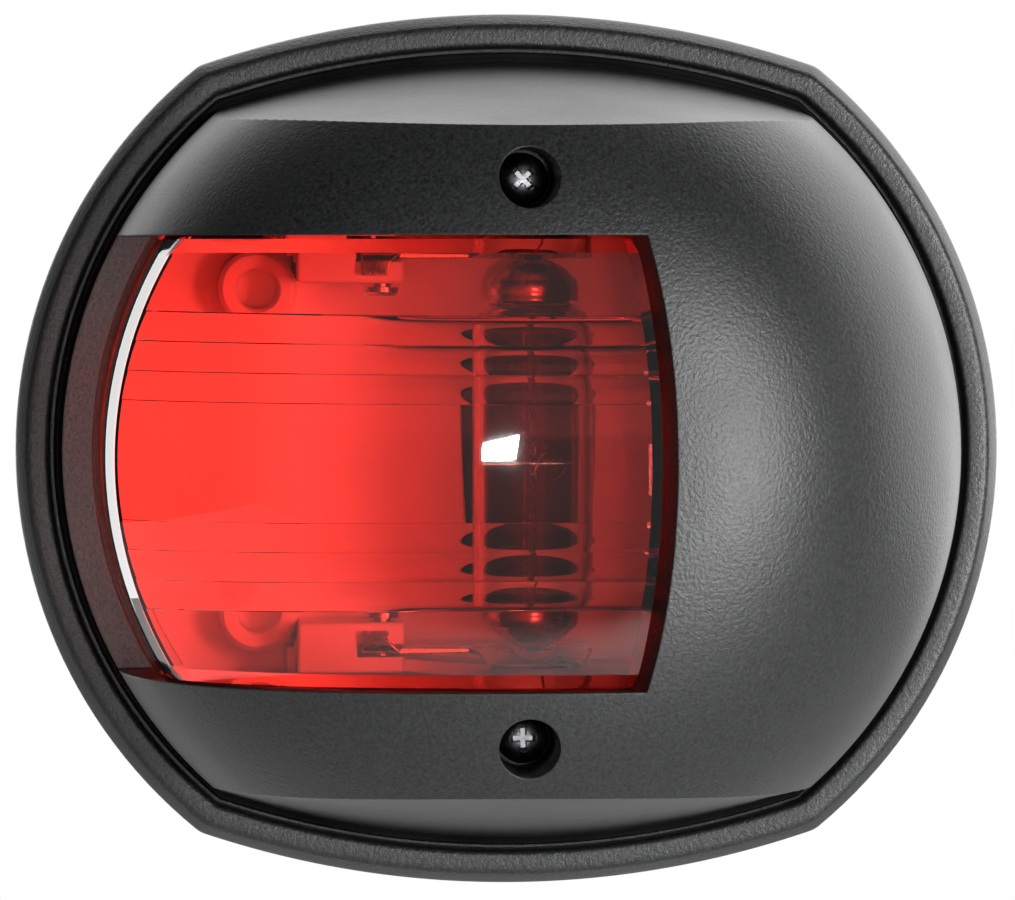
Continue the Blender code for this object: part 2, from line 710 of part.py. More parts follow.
def make_front_cover():
    radius = BASE_RADIUS - COVER_INSET
    cover = turned("front_cover", dome_profile(radius, COVER_FRONT - DOME_START, COVER_POWER, COVER_FOOT),
                   steps=DOME_STEPS)
    combine(cover, flats_block("cover_flats", COVER_INSET, COVER_FOOT - 0.001, FLATS_STRAIGHT), "INTERSECT")
    hollow = turned("cover_hollow", dome_profile(radius - COVER_WALL, COVER_FRONT - DOME_START - COVER_WALL,
                                                 COVER_POWER, COVER_FOOT - 0.002),
                    steps=DOME_STEPS, is_cutter=True)
    combine(hollow, flats_block("hollow_flats", COVER_INSET + COVER_WALL, COVER_FOOT - 0.003, FLATS_STRAIGHT),
            "INTERSECT")
    cut(cover, hollow)
    cut(cover, window_block("window", WINDOW_HALF_HEIGHT, WINDOW_RIGHT, LEDGE_FRONT, 0.05))
    for side, sign in SIDES:
        height = sign * WELL_HEIGHT
        join(cover, rod(side + "_well_boss", 0.0, height, BOSS_RADIUS, BOSS_END, BOSS_TOP, 18, True))
        well = [
            (0.0, 0.05), (WELL_RADIUS, 0.05), (WELL_RADIUS, WELL_FLOOR), (0.0017, WELL_FLOOR),
            (0.0017, BOSS_END - 0.002), (0.0, BOSS_END - 0.002),
        ]
        cut(cover, turned(side + "_well", well, 0.0, height, 18, True))
    paint(cover, black_plastic)


def make_cover_screws():
    for side, sign in SIDES:
        height = sign * WELL_HEIGHT
        profile = [
            (0.0, SCREW_HEAD_FRONT), (0.0010, SCREW_HEAD_FRONT - 0.0001), (0.0017, SCREW_HEAD_FRONT - 0.0004),
            (SCREW_HEAD_RADIUS, SCREW_HEAD_FRONT - 0.0010), (SCREW_HEAD_RADIUS, SCREW_HEAD_BACK),
            (SCREW_SHANK_RADIUS, SCREW_HEAD_BACK), (SCREW_SHANK_RADIUS, SCREW_TIP + 0.001),
            (0.0006, SCREW_TIP), (0.0, SCREW_TIP),
        ]
        screw = turned(side + "_cover_screw", profile, 0.0, height, 16)
        arms = cross_cutter(side + "_cover_cross", 0.0, height, SCREW_HEAD_FRONT, CROSS_WIDTH,
                            CROSS_LENGTH, CROSS_DEPTH, CROSS_TURNS[side])
        cut(screw, arms)
        paint(screw, black_steel)
        seal_front = SCREW_HEAD_BACK - FIT_GAP
        seal_back = WELL_FLOOR + FIT_GAP
        section = [(0.0017, seal_front), (0.00205, seal_front), (0.00205, seal_back), (0.0017, seal_back)]
        seal = turned(side + "_screw_seal", section, 0.0, height, 18)
        paint(seal, soft_rubber)


clear_scene()
parts = new_collection("navigation_light")
cutters = new_collection("cutters")

black_plastic = material("black_plastic", (0.012, 0.012, 0.013), 0.48)
white_plastic = material("white_plastic", (0.82, 0.82, 0.80), 0.45)
red_lens = material("red_lens", (0.85, 0.02, 0.02), 0.06, transmission=0.9)
clear_glass = material("clear_glass", (0.95, 0.95, 0.95), 0.03, transmission=1.0)
soft_rubber = material("soft_rubber", (0.015, 0.015, 0.015), 0.75)
glossy_rubber = material("glossy_rubber", (0.010, 0.010, 0.010), 0.25)
spring_brass = material("spring_brass", (0.62, 0.50, 0.28), 0.30, metallic=1.0)
cap_metal = material("cap_metal", (0.60, 0.60, 0.58), 0.25, metallic=1.0)
bright_steel = material("bright_steel", (0.60, 0.60, 0.60), 0.30, metallic=1.0)
black_steel = material("black_steel", (0.020, 0.020, 0.022), 0.30, metallic=0.6)
tungsten = material("tungsten", (0.20, 0.20, 0.21), 0.35, metallic=1.0)

make_wall_gasket()
make_base_plate()
make_cable_grommet()
make_cover_seal()
make_lamp_carrier()
make_carrier_screws()
for side_name, side_sign in SIDES:
    make_contact(side_name, side_sign)
make_contact_rivets()
make_bulb()
make_filament()
make_lens()
make_front_cover()
make_cover_screws()
for made_part in parts.objects:
    smooth(made_part)
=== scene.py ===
import math

import bpy
from mathutils import Matrix, Vector


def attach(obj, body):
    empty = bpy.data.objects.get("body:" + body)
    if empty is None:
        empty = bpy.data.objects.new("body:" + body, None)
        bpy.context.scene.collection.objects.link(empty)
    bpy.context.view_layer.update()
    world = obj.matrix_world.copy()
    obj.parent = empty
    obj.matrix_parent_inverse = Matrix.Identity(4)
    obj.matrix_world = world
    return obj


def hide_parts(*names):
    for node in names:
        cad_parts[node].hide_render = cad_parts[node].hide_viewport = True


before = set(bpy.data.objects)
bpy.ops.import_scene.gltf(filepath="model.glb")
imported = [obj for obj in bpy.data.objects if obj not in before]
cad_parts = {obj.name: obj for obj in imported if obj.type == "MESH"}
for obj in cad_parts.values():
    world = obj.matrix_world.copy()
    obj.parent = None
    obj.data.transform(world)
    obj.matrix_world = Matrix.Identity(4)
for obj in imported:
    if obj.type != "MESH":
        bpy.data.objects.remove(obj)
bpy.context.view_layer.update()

# Pieces are drawn lying on their back: x along the wall, y up the wall, z out of the wall.
# Each finished piece is then stood up, which turns (x, y, z) into (x, -z, y).
standUp = Matrix.Rotation(math.radians(90), 4, "X")
layDown = Matrix.Rotation(math.radians(-90), 4, "X")
sides = (("upper", 1), ("lower", -1))
fitGap = 0.0003

outline = {
    "roundRadius": 0.0400,      # left and right ends
    "flatRadius": 0.0770,       # long flat arcs above and below
    "flatApex": 0.03535,        # half height of the base
    "cornerRadius": 0.0026,
    "leastCorner": 0.0008,
    "roundSteps": 26,           # per quarter of the outline
    "cornerSteps": 8,
    "flatSteps": 22,
}
outline["drop"] = outline["flatRadius"] - outline["flatApex"]
outlineColumns = 4 * (outline["roundSteps"] + outline["cornerSteps"] + outline["flatSteps"])


def deselect():
    if bpy.context.object and bpy.context.object.mode == "EDIT":
        bpy.ops.object.mode_set(mode="OBJECT")
    bpy.ops.object.select_all(action="DESELECT")


def makeActive(piece):
    deselect()
    piece.select_set(True)
    bpy.context.view_layer.objects.active = piece


def applyModifiers(piece):
    makeActive(piece)
    for step in list(piece.modifiers):
        bpy.ops.object.modifier_apply(modifier=step.name)


def cleanUp(piece, fillHoles=True):
    # merge what lies together, close the ends, and turn every face outwards
    makeActive(piece)
    bpy.ops.object.mode_set(mode="EDIT")
    bpy.ops.mesh.select_all(action="SELECT")
    bpy.ops.mesh.remove_doubles(threshold=0.000002)
    if fillHoles:
        bpy.ops.mesh.fill_holes(sides=0)
    bpy.ops.mesh.select_all(action="SELECT")
    bpy.ops.mesh.normals_make_consistent(inside=False)
    bpy.ops.object.mode_set(mode="OBJECT")
    return piece


def ringStack(name, columns, rings, place, isLoop=False):
    # a circle extruded into a tube of rings, each vertex then put where place says
    deselect()
    bpy.ops.mesh.primitive_circle_add(vertices=columns, radius=1.0)
    piece = bpy.context.object
    piece.name = name
    bpy.ops.object.mode_set(mode="EDIT")
    bpy.ops.mesh.select_all(action="SELECT")
    for ring in range(1, rings):
        bpy.ops.mesh.extrude_region_move(TRANSFORM_OT_translate={"value": (0, 0, 1)})
    if isLoop:
        bpy.ops.mesh.select_all(action="DESELECT")
        bpy.ops.mesh.select_non_manifold()
        bpy.ops.mesh.bridge_edge_loops()
    bpy.ops.mesh.select_all(action="DESELECT")
    bpy.ops.object.mode_set(mode="OBJECT")
    for vertex in piece.data.vertices:
        column = round(math.atan2(vertex.co.y, vertex.co.x) / (2 * math.pi) * columns) % columns
        ring = round(vertex.co.z)
        vertex.co = place(column, ring)
    return cleanUp(piece, not isLoop)


def turned(name, profile, steps=48, middle=(0.0, 0.0), isLoop=False):
    # turned piece from (radius, depth) points
    def place(column, ring):
        turn = 2 * math.pi * column / steps
        reach, depth = profile[ring]
        return middle[0] + reach * math.cos(turn), middle[1] + reach * math.sin(turn), depth
    return ringStack(name, steps, len(profile), place, isLoop)


def slab(name, across, along, place):
    # a grid extruded into a closed plate, each vertex then put where place(i, j, layer) says
    deselect()
    bpy.ops.mesh.primitive_grid_add(x_subdivisions=across, y_subdivisions=along, size=2.0)
    piece = bpy.context.object
    piece.name = name
    bpy.ops.object.mode_set(mode="EDIT")
    bpy.ops.mesh.select_all(action="SELECT")
    bpy.ops.mesh.extrude_region_move(TRANSFORM_OT_translate={"value": (0, 0, 1)})
    bpy.ops.object.mode_set(mode="OBJECT")
    for vertex in piece.data.vertices:
        i = round((vertex.co.x + 1) / 2 * across)
        j = round((vertex.co.y + 1) / 2 * along)
        vertex.co = place(i, j, round(vertex.co.z))
    return cleanUp(piece, False)


def block(name, low, high, rounding=0.0, segments=3):
    # box between two corners, its edges bevelled in edit mode
    deselect()
    middle = [(a + b) / 2 for a, b in zip(low, high)]
    bpy.ops.mesh.primitive_cube_add(size=1.0, location=middle, scale=[b - a for a, b in zip(low, high)])
    piece = bpy.context.object
    piece.name = name
    bpy.ops.object.transform_apply(location=True, rotation=True, scale=True)
    if rounding:
        bpy.ops.object.mode_set(mode="EDIT")
        bpy.ops.mesh.select_all(action="SELECT")
        bpy.ops.mesh.bevel(offset=rounding, segments=segments, affect="EDGES")
        bpy.ops.object.mode_set(mode="OBJECT")
    return piece


def soften(piece, width, segments=2, degrees=35):
    step = piece.modifiers.new("soften", "BEVEL")
    step.width = width
    step.segments = segments
    step.limit_method = "ANGLE"
    step.angle_limit = math.radians(degrees)
    applyModifiers(piece)


def combine(piece, other, operation="DIFFERENCE"):
    step = piece.modifiers.new(operation.lower(), "BOOLEAN")
    step.operation = operation
    step.solver = "MANIFOLD"
    step.object = other
    applyModifiers(piece)
    bpy.data.objects.remove(other)


def finishPiece(piece, body, finish, slot, *replaced, degrees=32):
    piece.data.transform(standUp)
    piece.data.materials.clear()
    piece.data.materials.append(finish)
    makeActive(piece)
    bpy.ops.object.shade_smooth_by_angle(angle=math.radians(degrees))
    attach(piece, body)
    if replaced:
        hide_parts(*replaced)
    deselect()
    return piece


def newMaterial(name):
    made = bpy.data.materials.new(name)
    made.use_nodes = True
    return made, made.node_tree, made.node_tree.nodes["Principled BSDF"]


def noiseNode(tree, scale, detail=3.0, rough=0.55, stretch=None):
    coords = tree.nodes.new("ShaderNodeTexCoord")
    noise = tree.nodes.new("ShaderNodeTexNoise")
    noise.inputs["Scale"].default_value = scale
    noise.inputs["Detail"].default_value = detail
    noise.inputs["Roughness"].default_value = rough
    if stretch:
        mapping = tree.nodes.new("ShaderNodeMapping")
        mapping.inputs["Scale"].default_value = stretch
        tree.links.new(coords.outputs["Object"], mapping.inputs["Vector"])
        tree.links.new(mapping.outputs["Vector"], noise.inputs["Vector"])
    else:
        tree.links.new(coords.outputs["Object"], noise.inputs["Vector"])
    return noise.outputs["Fac"]


def spread(tree, source, low, high, fromLow=0.3, fromHigh=0.7):
    # map a texture's middle range onto low to high
    node = tree.nodes.new("ShaderNodeMapRange")
    node.inputs["From Min"].default_value = fromLow
    node.inputs["From Max"].default_value = fromHigh
    node.inputs["To Min"].default_value = low
    node.inputs["To Max"].default_value = high
    tree.links.new(source, node.inputs["Value"])
    return node.outputs["Result"]


def tint(tree, source, dark, light):
    # colour ramp between two colours
    ramp = tree.nodes.new("ShaderNodeValToRGB")
    ramp.color_ramp.elements[0].position = 0.3
    ramp.color_ramp.elements[0].color = (*dark, 1.0)
    ramp.color_ramp.elements[1].position = 0.7
    ramp.color_ramp.elements[1].color = (*light, 1.0)
    tree.links.new(source, ramp.inputs["Fac"])
    return ramp.outputs["Color"]


def bump(tree, shader, height, distance, edge=0.0):
    # surface relief, over edges rounded by the given radius
    node = tree.nodes.new("ShaderNodeBump")
    node.inputs["Strength"].default_value = 1.0
    node.inputs["Distance"].default_value = distance
    tree.links.new(height, node.inputs["Height"])
    if edge:
        rounding = tree.nodes.new("ShaderNodeBevel")
        rounding.samples = 4
        rounding.inputs["Radius"].default_value = edge
        tree.links.new(rounding.outputs["Normal"], node.inputs["Normal"])
    tree.links.new(node.outputs["Normal"], shader.inputs["Normal"])


def plastic(name, values):
    # moulded plastic or rubber: spark-eroded or polished skin, cloudy gloss, rounded edges
    made, tree, shader = newMaterial(name)
    cloud = noiseNode(tree, values["cloudScale"], 3.0)
    grain = noiseNode(tree, values["grainScale"], 3.0, 0.6)
    shade = grain if values.get("speckled") else cloud
    tree.links.new(tint(tree, shade, values["dark"], values["light"]), shader.inputs["Base Color"])
    tree.links.new(spread(tree, cloud, *values["gloss"]), shader.inputs["Roughness"])
    shader.inputs["Specular IOR Level"].default_value = values["specular"]
    bump(tree, shader, grain, values["grainDepth"], values["edge"])
    if "scatter" in values:
        shader.inputs["Subsurface Weight"].default_value = values["scatter"]
        shader.inputs["Subsurface Radius"].default_value = (0.0012, 0.0011, 0.0010)
        shader.inputs["Subsurface Scale"].default_value = 1.0
    return made


def metal(name, values):
    # drawn or plated metal: fine brushing along one direction, patches of tarnish
    made, tree, shader = newMaterial(name)
    shader.inputs["Metallic"].default_value = 1.0
    patches = noiseNode(tree, values["patchScale"], 4.0)
    brushing = noiseNode(tree, values["brushScale"], 2.0, 0.5, values["stretch"])
    tree.links.new(tint(tree, patches, values["dark"], values["light"]), shader.inputs["Base Color"])
    tree.links.new(spread(tree, patches, *values["gloss"]), shader.inputs["Roughness"])
    bump(tree, shader, brushing, values["brushDepth"], values["edge"])
    return made


def clearMaterial(name, values):
    # glass or clear plastic that lets light through to what is behind it
    made, tree, shader = newMaterial(name)
    wave = noiseNode(tree, values["waveScale"], 2.0)
    shader.inputs["Base Color"].default_value = (*values["colour"], 1.0)
    shader.inputs["Transmission Weight"].default_value = 1.0
    shader.inputs["IOR"].default_value = values["ior"]
    tree.links.new(spread(tree, wave, *values["gloss"]), shader.inputs["Roughness"])
    bump(tree, shader, wave, values["waveDepth"])
    through = tree.nodes.new("ShaderNodeBsdfTransparent")
    perFace = [math.sqrt(part) for part in values["passing"]]     # a wall is crossed at two faces
    through.inputs["Color"].default_value = (*perFace, 1.0)
    path = tree.nodes.new("ShaderNodeLightPath")
    mix = tree.nodes.new("ShaderNodeMixShader")
    output = tree.nodes["Material Output"]
    tree.links.new(path.outputs["Is Shadow Ray"], mix.inputs["Fac"])
    tree.links.new(shader.outputs["BSDF"], mix.inputs[1])
    tree.links.new(through.outputs["BSDF"], mix.inputs[2])
    tree.links.new(mix.outputs["Shader"], output.inputs["Surface"])
    return made


finishes = {
    "blackPlastic": {"dark": (0.002, 0.002, 0.002), "light": (0.019, 0.020, 0.021), "cloudScale": 60.0,
                     "grainScale": 3300.0, "gloss": (0.33, 0.42), "specular": 0.46, "speckled": True,
                     "grainDepth": 0.000060, "edge": 0.00022},
    "whitePlastic": {"dark": (0.80, 0.80, 0.78), "light": (0.88, 0.88, 0.86), "cloudScale": 90.0,
                     "grainScale": 1500.0, "gloss": (0.38, 0.55), "specular": 0.45,
                     "grainDepth": 0.00001, "edge": 0.00015},
    "softRubber": {"dark": (0.010, 0.010, 0.010), "light": (0.022, 0.022, 0.022), "cloudScale": 200.0,
                   "grainScale": 3500.0, "gloss": (0.60, 0.80), "specular": 0.35,
                   "grainDepth": 0.00002, "edge": 0.00012},
    "glossyRubber": {"dark": (0.006, 0.006, 0.006), "light": (0.012, 0.012, 0.012), "cloudScale": 150.0,
                     "grainScale": 900.0, "gloss": (0.16, 0.26), "specular": 0.50,
                     "grainDepth": 0.000006, "edge": 0.0},
    "springBrass": {"dark": (0.52, 0.43, 0.27), "light": (0.74, 0.66, 0.48), "patchScale": 500.0,
                    "brushScale": 900.0, "stretch": (0.15, 4.0, 4.0), "gloss": (0.22, 0.36),
                    "brushDepth": 0.000006, "edge": 0.00008},
    "brightSteel": {"dark": (0.46, 0.46, 0.47), "light": (0.66, 0.66, 0.66), "patchScale": 700.0,
                    "brushScale": 1500.0, "stretch": (1.0, 1.0, 1.0), "gloss": (0.22, 0.38),
                    "brushDepth": 0.000005, "edge": 0.00006},
    "capMetal": {"dark": (0.50, 0.50, 0.49), "light": (0.74, 0.73, 0.70), "patchScale": 400.0,
                 "brushScale": 1200.0, "stretch": (0.3, 0.3, 5.0), "gloss": (0.16, 0.30),
                 "brushDepth": 0.000005, "edge": 0.00010},
    "blackSteel": {"dark": (0.10, 0.10, 0.105), "light": (0.24, 0.24, 0.25), "patchScale": 900.0,
                   "brushScale": 2500.0, "stretch": (1.0, 1.0, 1.0), "gloss": (0.22, 0.40),
                   "brushDepth": 0.000012, "edge": 0.00010},
    "tungsten": {"dark": (0.16, 0.16, 0.17), "light": (0.30, 0.30, 0.31), "patchScale": 2000.0,
                 "brushScale": 6000.0, "stretch": (1.0, 1.0, 1.0), "gloss": (0.30, 0.45),
                 "brushDepth": 0.000003, "edge": 0.0},
    "redLens": {"colour": (0.80, 0.095, 0.078), "passing": (0.74, 0.36, 0.32), "ior": 1.49,
                "gloss": (0.00, 0.03), "waveScale": 60.0, "waveDepth": 0.000010},
    "clearGlass": {"colour": (0.97, 0.98, 0.97), "passing": (0.96, 0.97, 0.96), "ior": 1.50,
                   "gloss": (0.00, 0.02), "waveScale": 250.0, "waveDepth": 0.000020},
}

blackPlastic = plastic("blackPlastic", finishes["blackPlastic"])
whitePlastic = plastic("whitePlastic", finishes["whitePlastic"])
softRubber = plastic("softRubber", finishes["softRubber"])
glossyRubber = plastic("glossyRubber", finishes["glossyRubber"])
springBrass = metal("springBrass", finishes["springBrass"])
brightSteel = metal("brightSteel", finishes["brightSteel"])
capMetal = metal("capMetal", finishes["capMetal"])
blackSteel = metal("blackSteel", finishes["blackSteel"])
tungsten = metal("tungsten", finishes["tungsten"])
redLens = clearMaterial("redLens", finishes["redLens"])
clearGlass = clearMaterial("clearGlass", finishes["clearGlass"])
print("materials made")


knownRings = {}


def outlineRing(inset):
    # points round the base's outline, moved in by inset, one for each column
    if inset in knownRings:
        return knownRings[inset]
    rounding = max(outline["cornerRadius"] - 0.4 * inset, outline["leastCorner"])
    innerRound = outline["roundRadius"] - inset - rounding
    innerFlat = outline["flatRadius"] - inset - rounding
    drop = outline["drop"]
    cornerY = (innerFlat ** 2 - innerRound ** 2 - drop ** 2) / (2 * drop)
    cornerX = math.sqrt(innerRound ** 2 - cornerY ** 2)
    roundEnd = math.atan2(cornerY, cornerX)
    flatStart = math.atan2(cornerY + drop, cornerX)
    quarter = []
    for step in range(outline["roundSteps"]):
        turn = roundEnd * step / outline["roundSteps"]
        reach = innerRound + rounding
        quarter.append((reach * math.cos(turn), reach * math.sin(turn)))
    for step in range(outline["cornerSteps"]):
        turn = roundEnd + (flatStart - roundEnd) * step / outline["cornerSteps"]
        quarter.append((cornerX + rounding * math.cos(turn), cornerY + rounding * math.sin(turn)))
    for step in range(outline["flatSteps"]):
        turn = flatStart + (math.pi / 2 - flatStart) * step / outline["flatSteps"]
        reach = innerFlat + rounding
        quarter.append((reach * math.cos(turn), reach * math.sin(turn) - drop))
    apex = (0.0, outline["flatApex"] - inset)
    right = [(x, -y) for x, y in reversed(quarter[1:])] + quarter
    ring = quarter + [apex] + [(-x, y) for x, y in reversed(quarter[1:])]
    ring += [(-quarter[0][0], 0.0)] + [(-x, -y) for x, y in quarter[1:]] + [(0.0, -apex[1])]
    ring += [(x, -y) for x, y in reversed(quarter[1:])]
    knownRings[inset] = ring
    return ring


def followOutline(name, stations, isLoop=False):
    # piece whose edge follows the outline, from (inset, depth) stations
    def place(column, ring):
        inset, depth = stations[ring]
        x, y = outlineRing(inset)[column]
        return x, y, depth
    return ringStack(name, outlineColumns, len(stations), place, isLoop)


def roundedPath(points, radius, steps=3):
    # the same path with each inner corner replaced by a short curve
    made = [points[0]]
    for before, here, after in zip(points, points[1:], points[2:]):
        back = Vector(before) - Vector(here)
        ahead = Vector(after) - Vector(here)
        cut = min(radius, back.length * 0.45, ahead.length * 0.45)
        start = Vector(here) + back.normalized() * cut
        end = Vector(here) + ahead.normalized() * cut
        for step in range(steps + 1):
            share = step / steps
            bent = start * (1 - share) ** 2 + Vector(here) * 2 * share * (1 - share) + end * share ** 2
            made.append(tuple(bent))
    return made + [points[-1]]


basePlateValues = {
    "groove": (0.0021, 0.0063, 0.0014),         # outer inset, inner inset, depth
    "floorFront": 0.0040,
    "postRadius": 0.0030,
    "postFront": 0.0230,
    "pilotRadius": 0.00165,
    "pilotEnd": 0.0100,
    "wellHeight": 0.0217,
    "fixing": (0.0200, 0.0128, 0.0021),         # x, height, well radius
    "skin": 0.0006,                             # left at the back of each fixing well
    "pocketMiddles": (-0.0105, 0.0125),
    "pocketHeight": 0.0140,
    "pocketSize": (0.0090, 0.0070, 0.0015),
    "cableX": 0.0015,
    "cableRadius": 0.0054,
    "carrierScrew": (0.0160, 0.0200, 0.0012),   # x, height, pilot radius
}


def makeBasePlate():
    v = basePlateValues
    outer, inner, deep = v["groove"]
    stations = roundedPath([
        (inner, 0.0), (inner, deep), (outer, deep), (outer, 0.0), (0.0, 0.0), (0.0, 0.0045),
        (0.0010, 0.0065), (0.0026, 0.0065), (0.0028, 0.0060), (0.0028, v["floorFront"]),
    ], 0.0004, 3)
    base = followOutline("baseMoulding", stations)
    for side, sign in sides:
        height = sign * v["wellHeight"]
        post = turned("post", [(0.0, 0.003), (0.0038, 0.003), (0.0038, 0.0042), (v["postRadius"], 0.0052),
                               (v["postRadius"], v["postFront"] - 0.0004),
                               (v["postRadius"] - 0.0004, v["postFront"]), (0.0, v["postFront"])],
                      48, (0.0, height))
        combine(base, post, "UNION")
        combine(base, turned("pilot", [(0.0, v["pilotEnd"]), (v["pilotRadius"], v["pilotEnd"] + 0.0008),
                                       (v["pilotRadius"], v["postFront"] - 0.0005),
                                       (v["pilotRadius"] + 0.0006, 0.030), (0.0, 0.030)],
                             32, (0.0, height)))
        x, y, radius = v["carrierScrew"]
        combine(base, turned("pilot", [(0.0, 0.0010), (radius, 0.0012), (radius, 0.008), (0.0, 0.008)],
                             24, (x, sign * y)))
        for hand in (-1, 1):
            x, y, radius = v["fixing"]
            way = [(0.0, v["skin"]), (radius, v["skin"]), (radius, 0.008), (0.0, 0.008)]
            combine(base, turned("fixingWay", way, 32, (hand * x, sign * y)))
        for x in v["pocketMiddles"]:
            length, width, depth = v["pocketSize"]
            low = (x - length / 2, sign * v["pocketHeight"] - width / 2, -0.002)
            high = (x + length / 2, sign * v["pocketHeight"] + width / 2, depth)
            combine(base, block("pocket", low, high, 0.0006))
    radius = v["cableRadius"]
    cableWay = [(0.0, 0.010), (radius, 0.010), (radius, 0.0016), (0.0070, 0.0016),
                (0.0070, -0.002), (0.0, -0.002)]
    combine(base, turned("cableWay", cableWay, 48, (v["cableX"], 0.0)))
    finishPiece(base, "base", blackPlastic, "black_plastic", "base_plate")


sealValues = {
    "coverStations": [(0.0031, 0.0043), (0.0031, 0.0050), (0.0034, 0.0056), (0.0038, 0.0050),
                      (0.0056, 0.0052), (0.0060, 0.0057), (0.0060, 0.0043)],
    "wallStations": [(0.0024, 0.0), (0.0024, 0.0011), (0.0060, 0.0011), (0.0060, 0.0)],
    "grommetProfile": [(0.0, 0.0042), (0.0016, 0.0044), (0.0022, 0.0056), (0.0030, 0.0060),
                       (0.0044, 0.0062), (0.0051, 0.0060), (0.0051, 0.0013), (0.0066, 0.0013),
                       (0.0066, 0.0003), (0.0030, 0.0003), (0.0016, 0.0034), (0.0, 0.0034)],
    "grommetX": 0.0015,
}


def makeSeals():
    v = sealValues
    lip = roundedPath(v["coverStations"], 0.0002, 2)
    cover = followOutline("coverSealRing", lip, isLoop=True)
    finishPiece(cover, "base", glossyRubber, "glossy_rubber", "cover_seal", degrees=60)
    wall = followOutline("wallGasketRing", roundedPath(v["wallStations"], 0.0003, 2), isLoop=True)
    finishPiece(wall, "base", softRubber, "soft_rubber", "wall_gasket", degrees=60)
    grommet = turned("grommetRing", roundedPath(v["grommetProfile"], 0.0003, 3), 64, (v["grommetX"], 0.0))
    finishPiece(grommet, "base", softRubber, "soft_rubber", "cable_grommet", degrees=60)


makeBasePlate()
makeSeals()
print("base and seals made")


coverValues = {
    "inset": 0.0039,
    "wall": 0.0024,
    "foot": 0.0060,
    "domeStart": 0.0090,
    "front": 0.0415,
    "power": 3.2,               # how square the dome's section is
    "draft": math.radians(11.0),
    "ledge": 0.0105,
    "windowHalfHeight": 0.01735,
    "windowRight": 0.0112,
    "windowArc": 0.1100,
    "cutOff": math.radians(22.5),
    "wellHeight": 0.0217,
    "wellRadius": 0.00235,
    "wellFloor": 0.0250,
    "screwWay": 0.0017,
    "bossRadius": 0.0034,
    "bossEnd": 0.0233,
    "bossTop": 0.0348,
    "flatsStraight": 0.0450,
}


def domeProfile(radius, rise, foot, rings):
    # (radius, depth) points from the crown down to the foot, evenly spread over the radius
    v = coverValues
    points = [(0.0, v["domeStart"] + rise)]
    for ring in range(1, rings + 1):
        turn = math.pi / 2 * (ring / rings) ** 1.5
        points.append((radius * math.sin(turn) ** (2 / v["power"]), v["domeStart"] + rise * math.cos(turn)))
    return points + [(radius, foot), (0.0, foot)]


def flatsBlock(inset, back):
    # block between the two drafted flats, which are curved at the foot and straight in front
    v = coverValues
    radius = outline["flatRadius"] - inset
    steps = 120

    def place(i, j, layer):
        depth = v["flatsStraight"] if layer else back
        apex = outline["flatApex"] - inset - (depth - v["foot"]) * math.tan(v["draft"])
        straightness = (depth - v["foot"]) / (v["flatsStraight"] - v["foot"])
        x = 0.045 * (2 * i / steps - 1)
        y = apex - (radius - math.sqrt(radius ** 2 - x ** 2)) * (1 - straightness)
        return x, (y if j else -y), depth
    return slab("flats", steps, 1, place)


def windowRightEdge(y, depth, shift=0.0):
    v = coverValues
    curve = v["windowRight"] + shift - v["windowArc"] + math.sqrt(v["windowArc"] ** 2 - y ** 2)
    return curve + (depth - v["front"]) * math.tan(v["cutOff"])


def makeCover():
    v = coverValues
    radius = outline["roundRadius"] - v["inset"]
    rise = v["front"] - v["domeStart"]
    cover = turned("coverMoulding", domeProfile(radius, rise, v["foot"], 56), 288)
    combine(cover, flatsBlock(v["inset"], v["foot"] - 0.001), "INTERSECT")
    hollow = turned("hollow", domeProfile(radius - v["wall"], rise - v["wall"], v["foot"] - 0.002, 32), 160)
    combine(hollow, flatsBlock(v["inset"] + v["wall"], v["foot"] - 0.003), "INTERSECT")
    combine(cover, hollow)

    def windowPlace(i, j, layer):
        y = v["windowHalfHeight"] * (2 * j / 32 - 1)
        depth = v["ledge"] if layer == 0 else 0.050
        return (-0.045 if i == 0 else windowRightEdge(y, depth)), y, depth

    combine(cover, slab("window", 1, 32, windowPlace))
    for side, sign in sides:
        height = sign * v["wellHeight"]
        boss = [(0.0, v["bossEnd"]), (v["bossRadius"] - 0.0003, v["bossEnd"]),
                (v["bossRadius"], v["bossEnd"] + 0.0003), (v["bossRadius"], v["bossTop"]),
                (0.0, v["bossTop"])]
        combine(cover, turned("boss", boss, 56, (0.0, height)), "UNION")
        well = [(0.0, 0.050), (v["wellRadius"], 0.050), (v["wellRadius"], v["wellFloor"]),
                (v["screwWay"], v["wellFloor"]), (v["screwWay"], v["bossEnd"] - 0.002),
                (0.0, v["bossEnd"] - 0.002)]
        combine(cover, turned("well", well, 56, (0.0, height)))
    finishPiece(cover, "cover", blackPlastic, "black_plastic", "front_cover", degrees=12)


makeCover()
print("cover made")


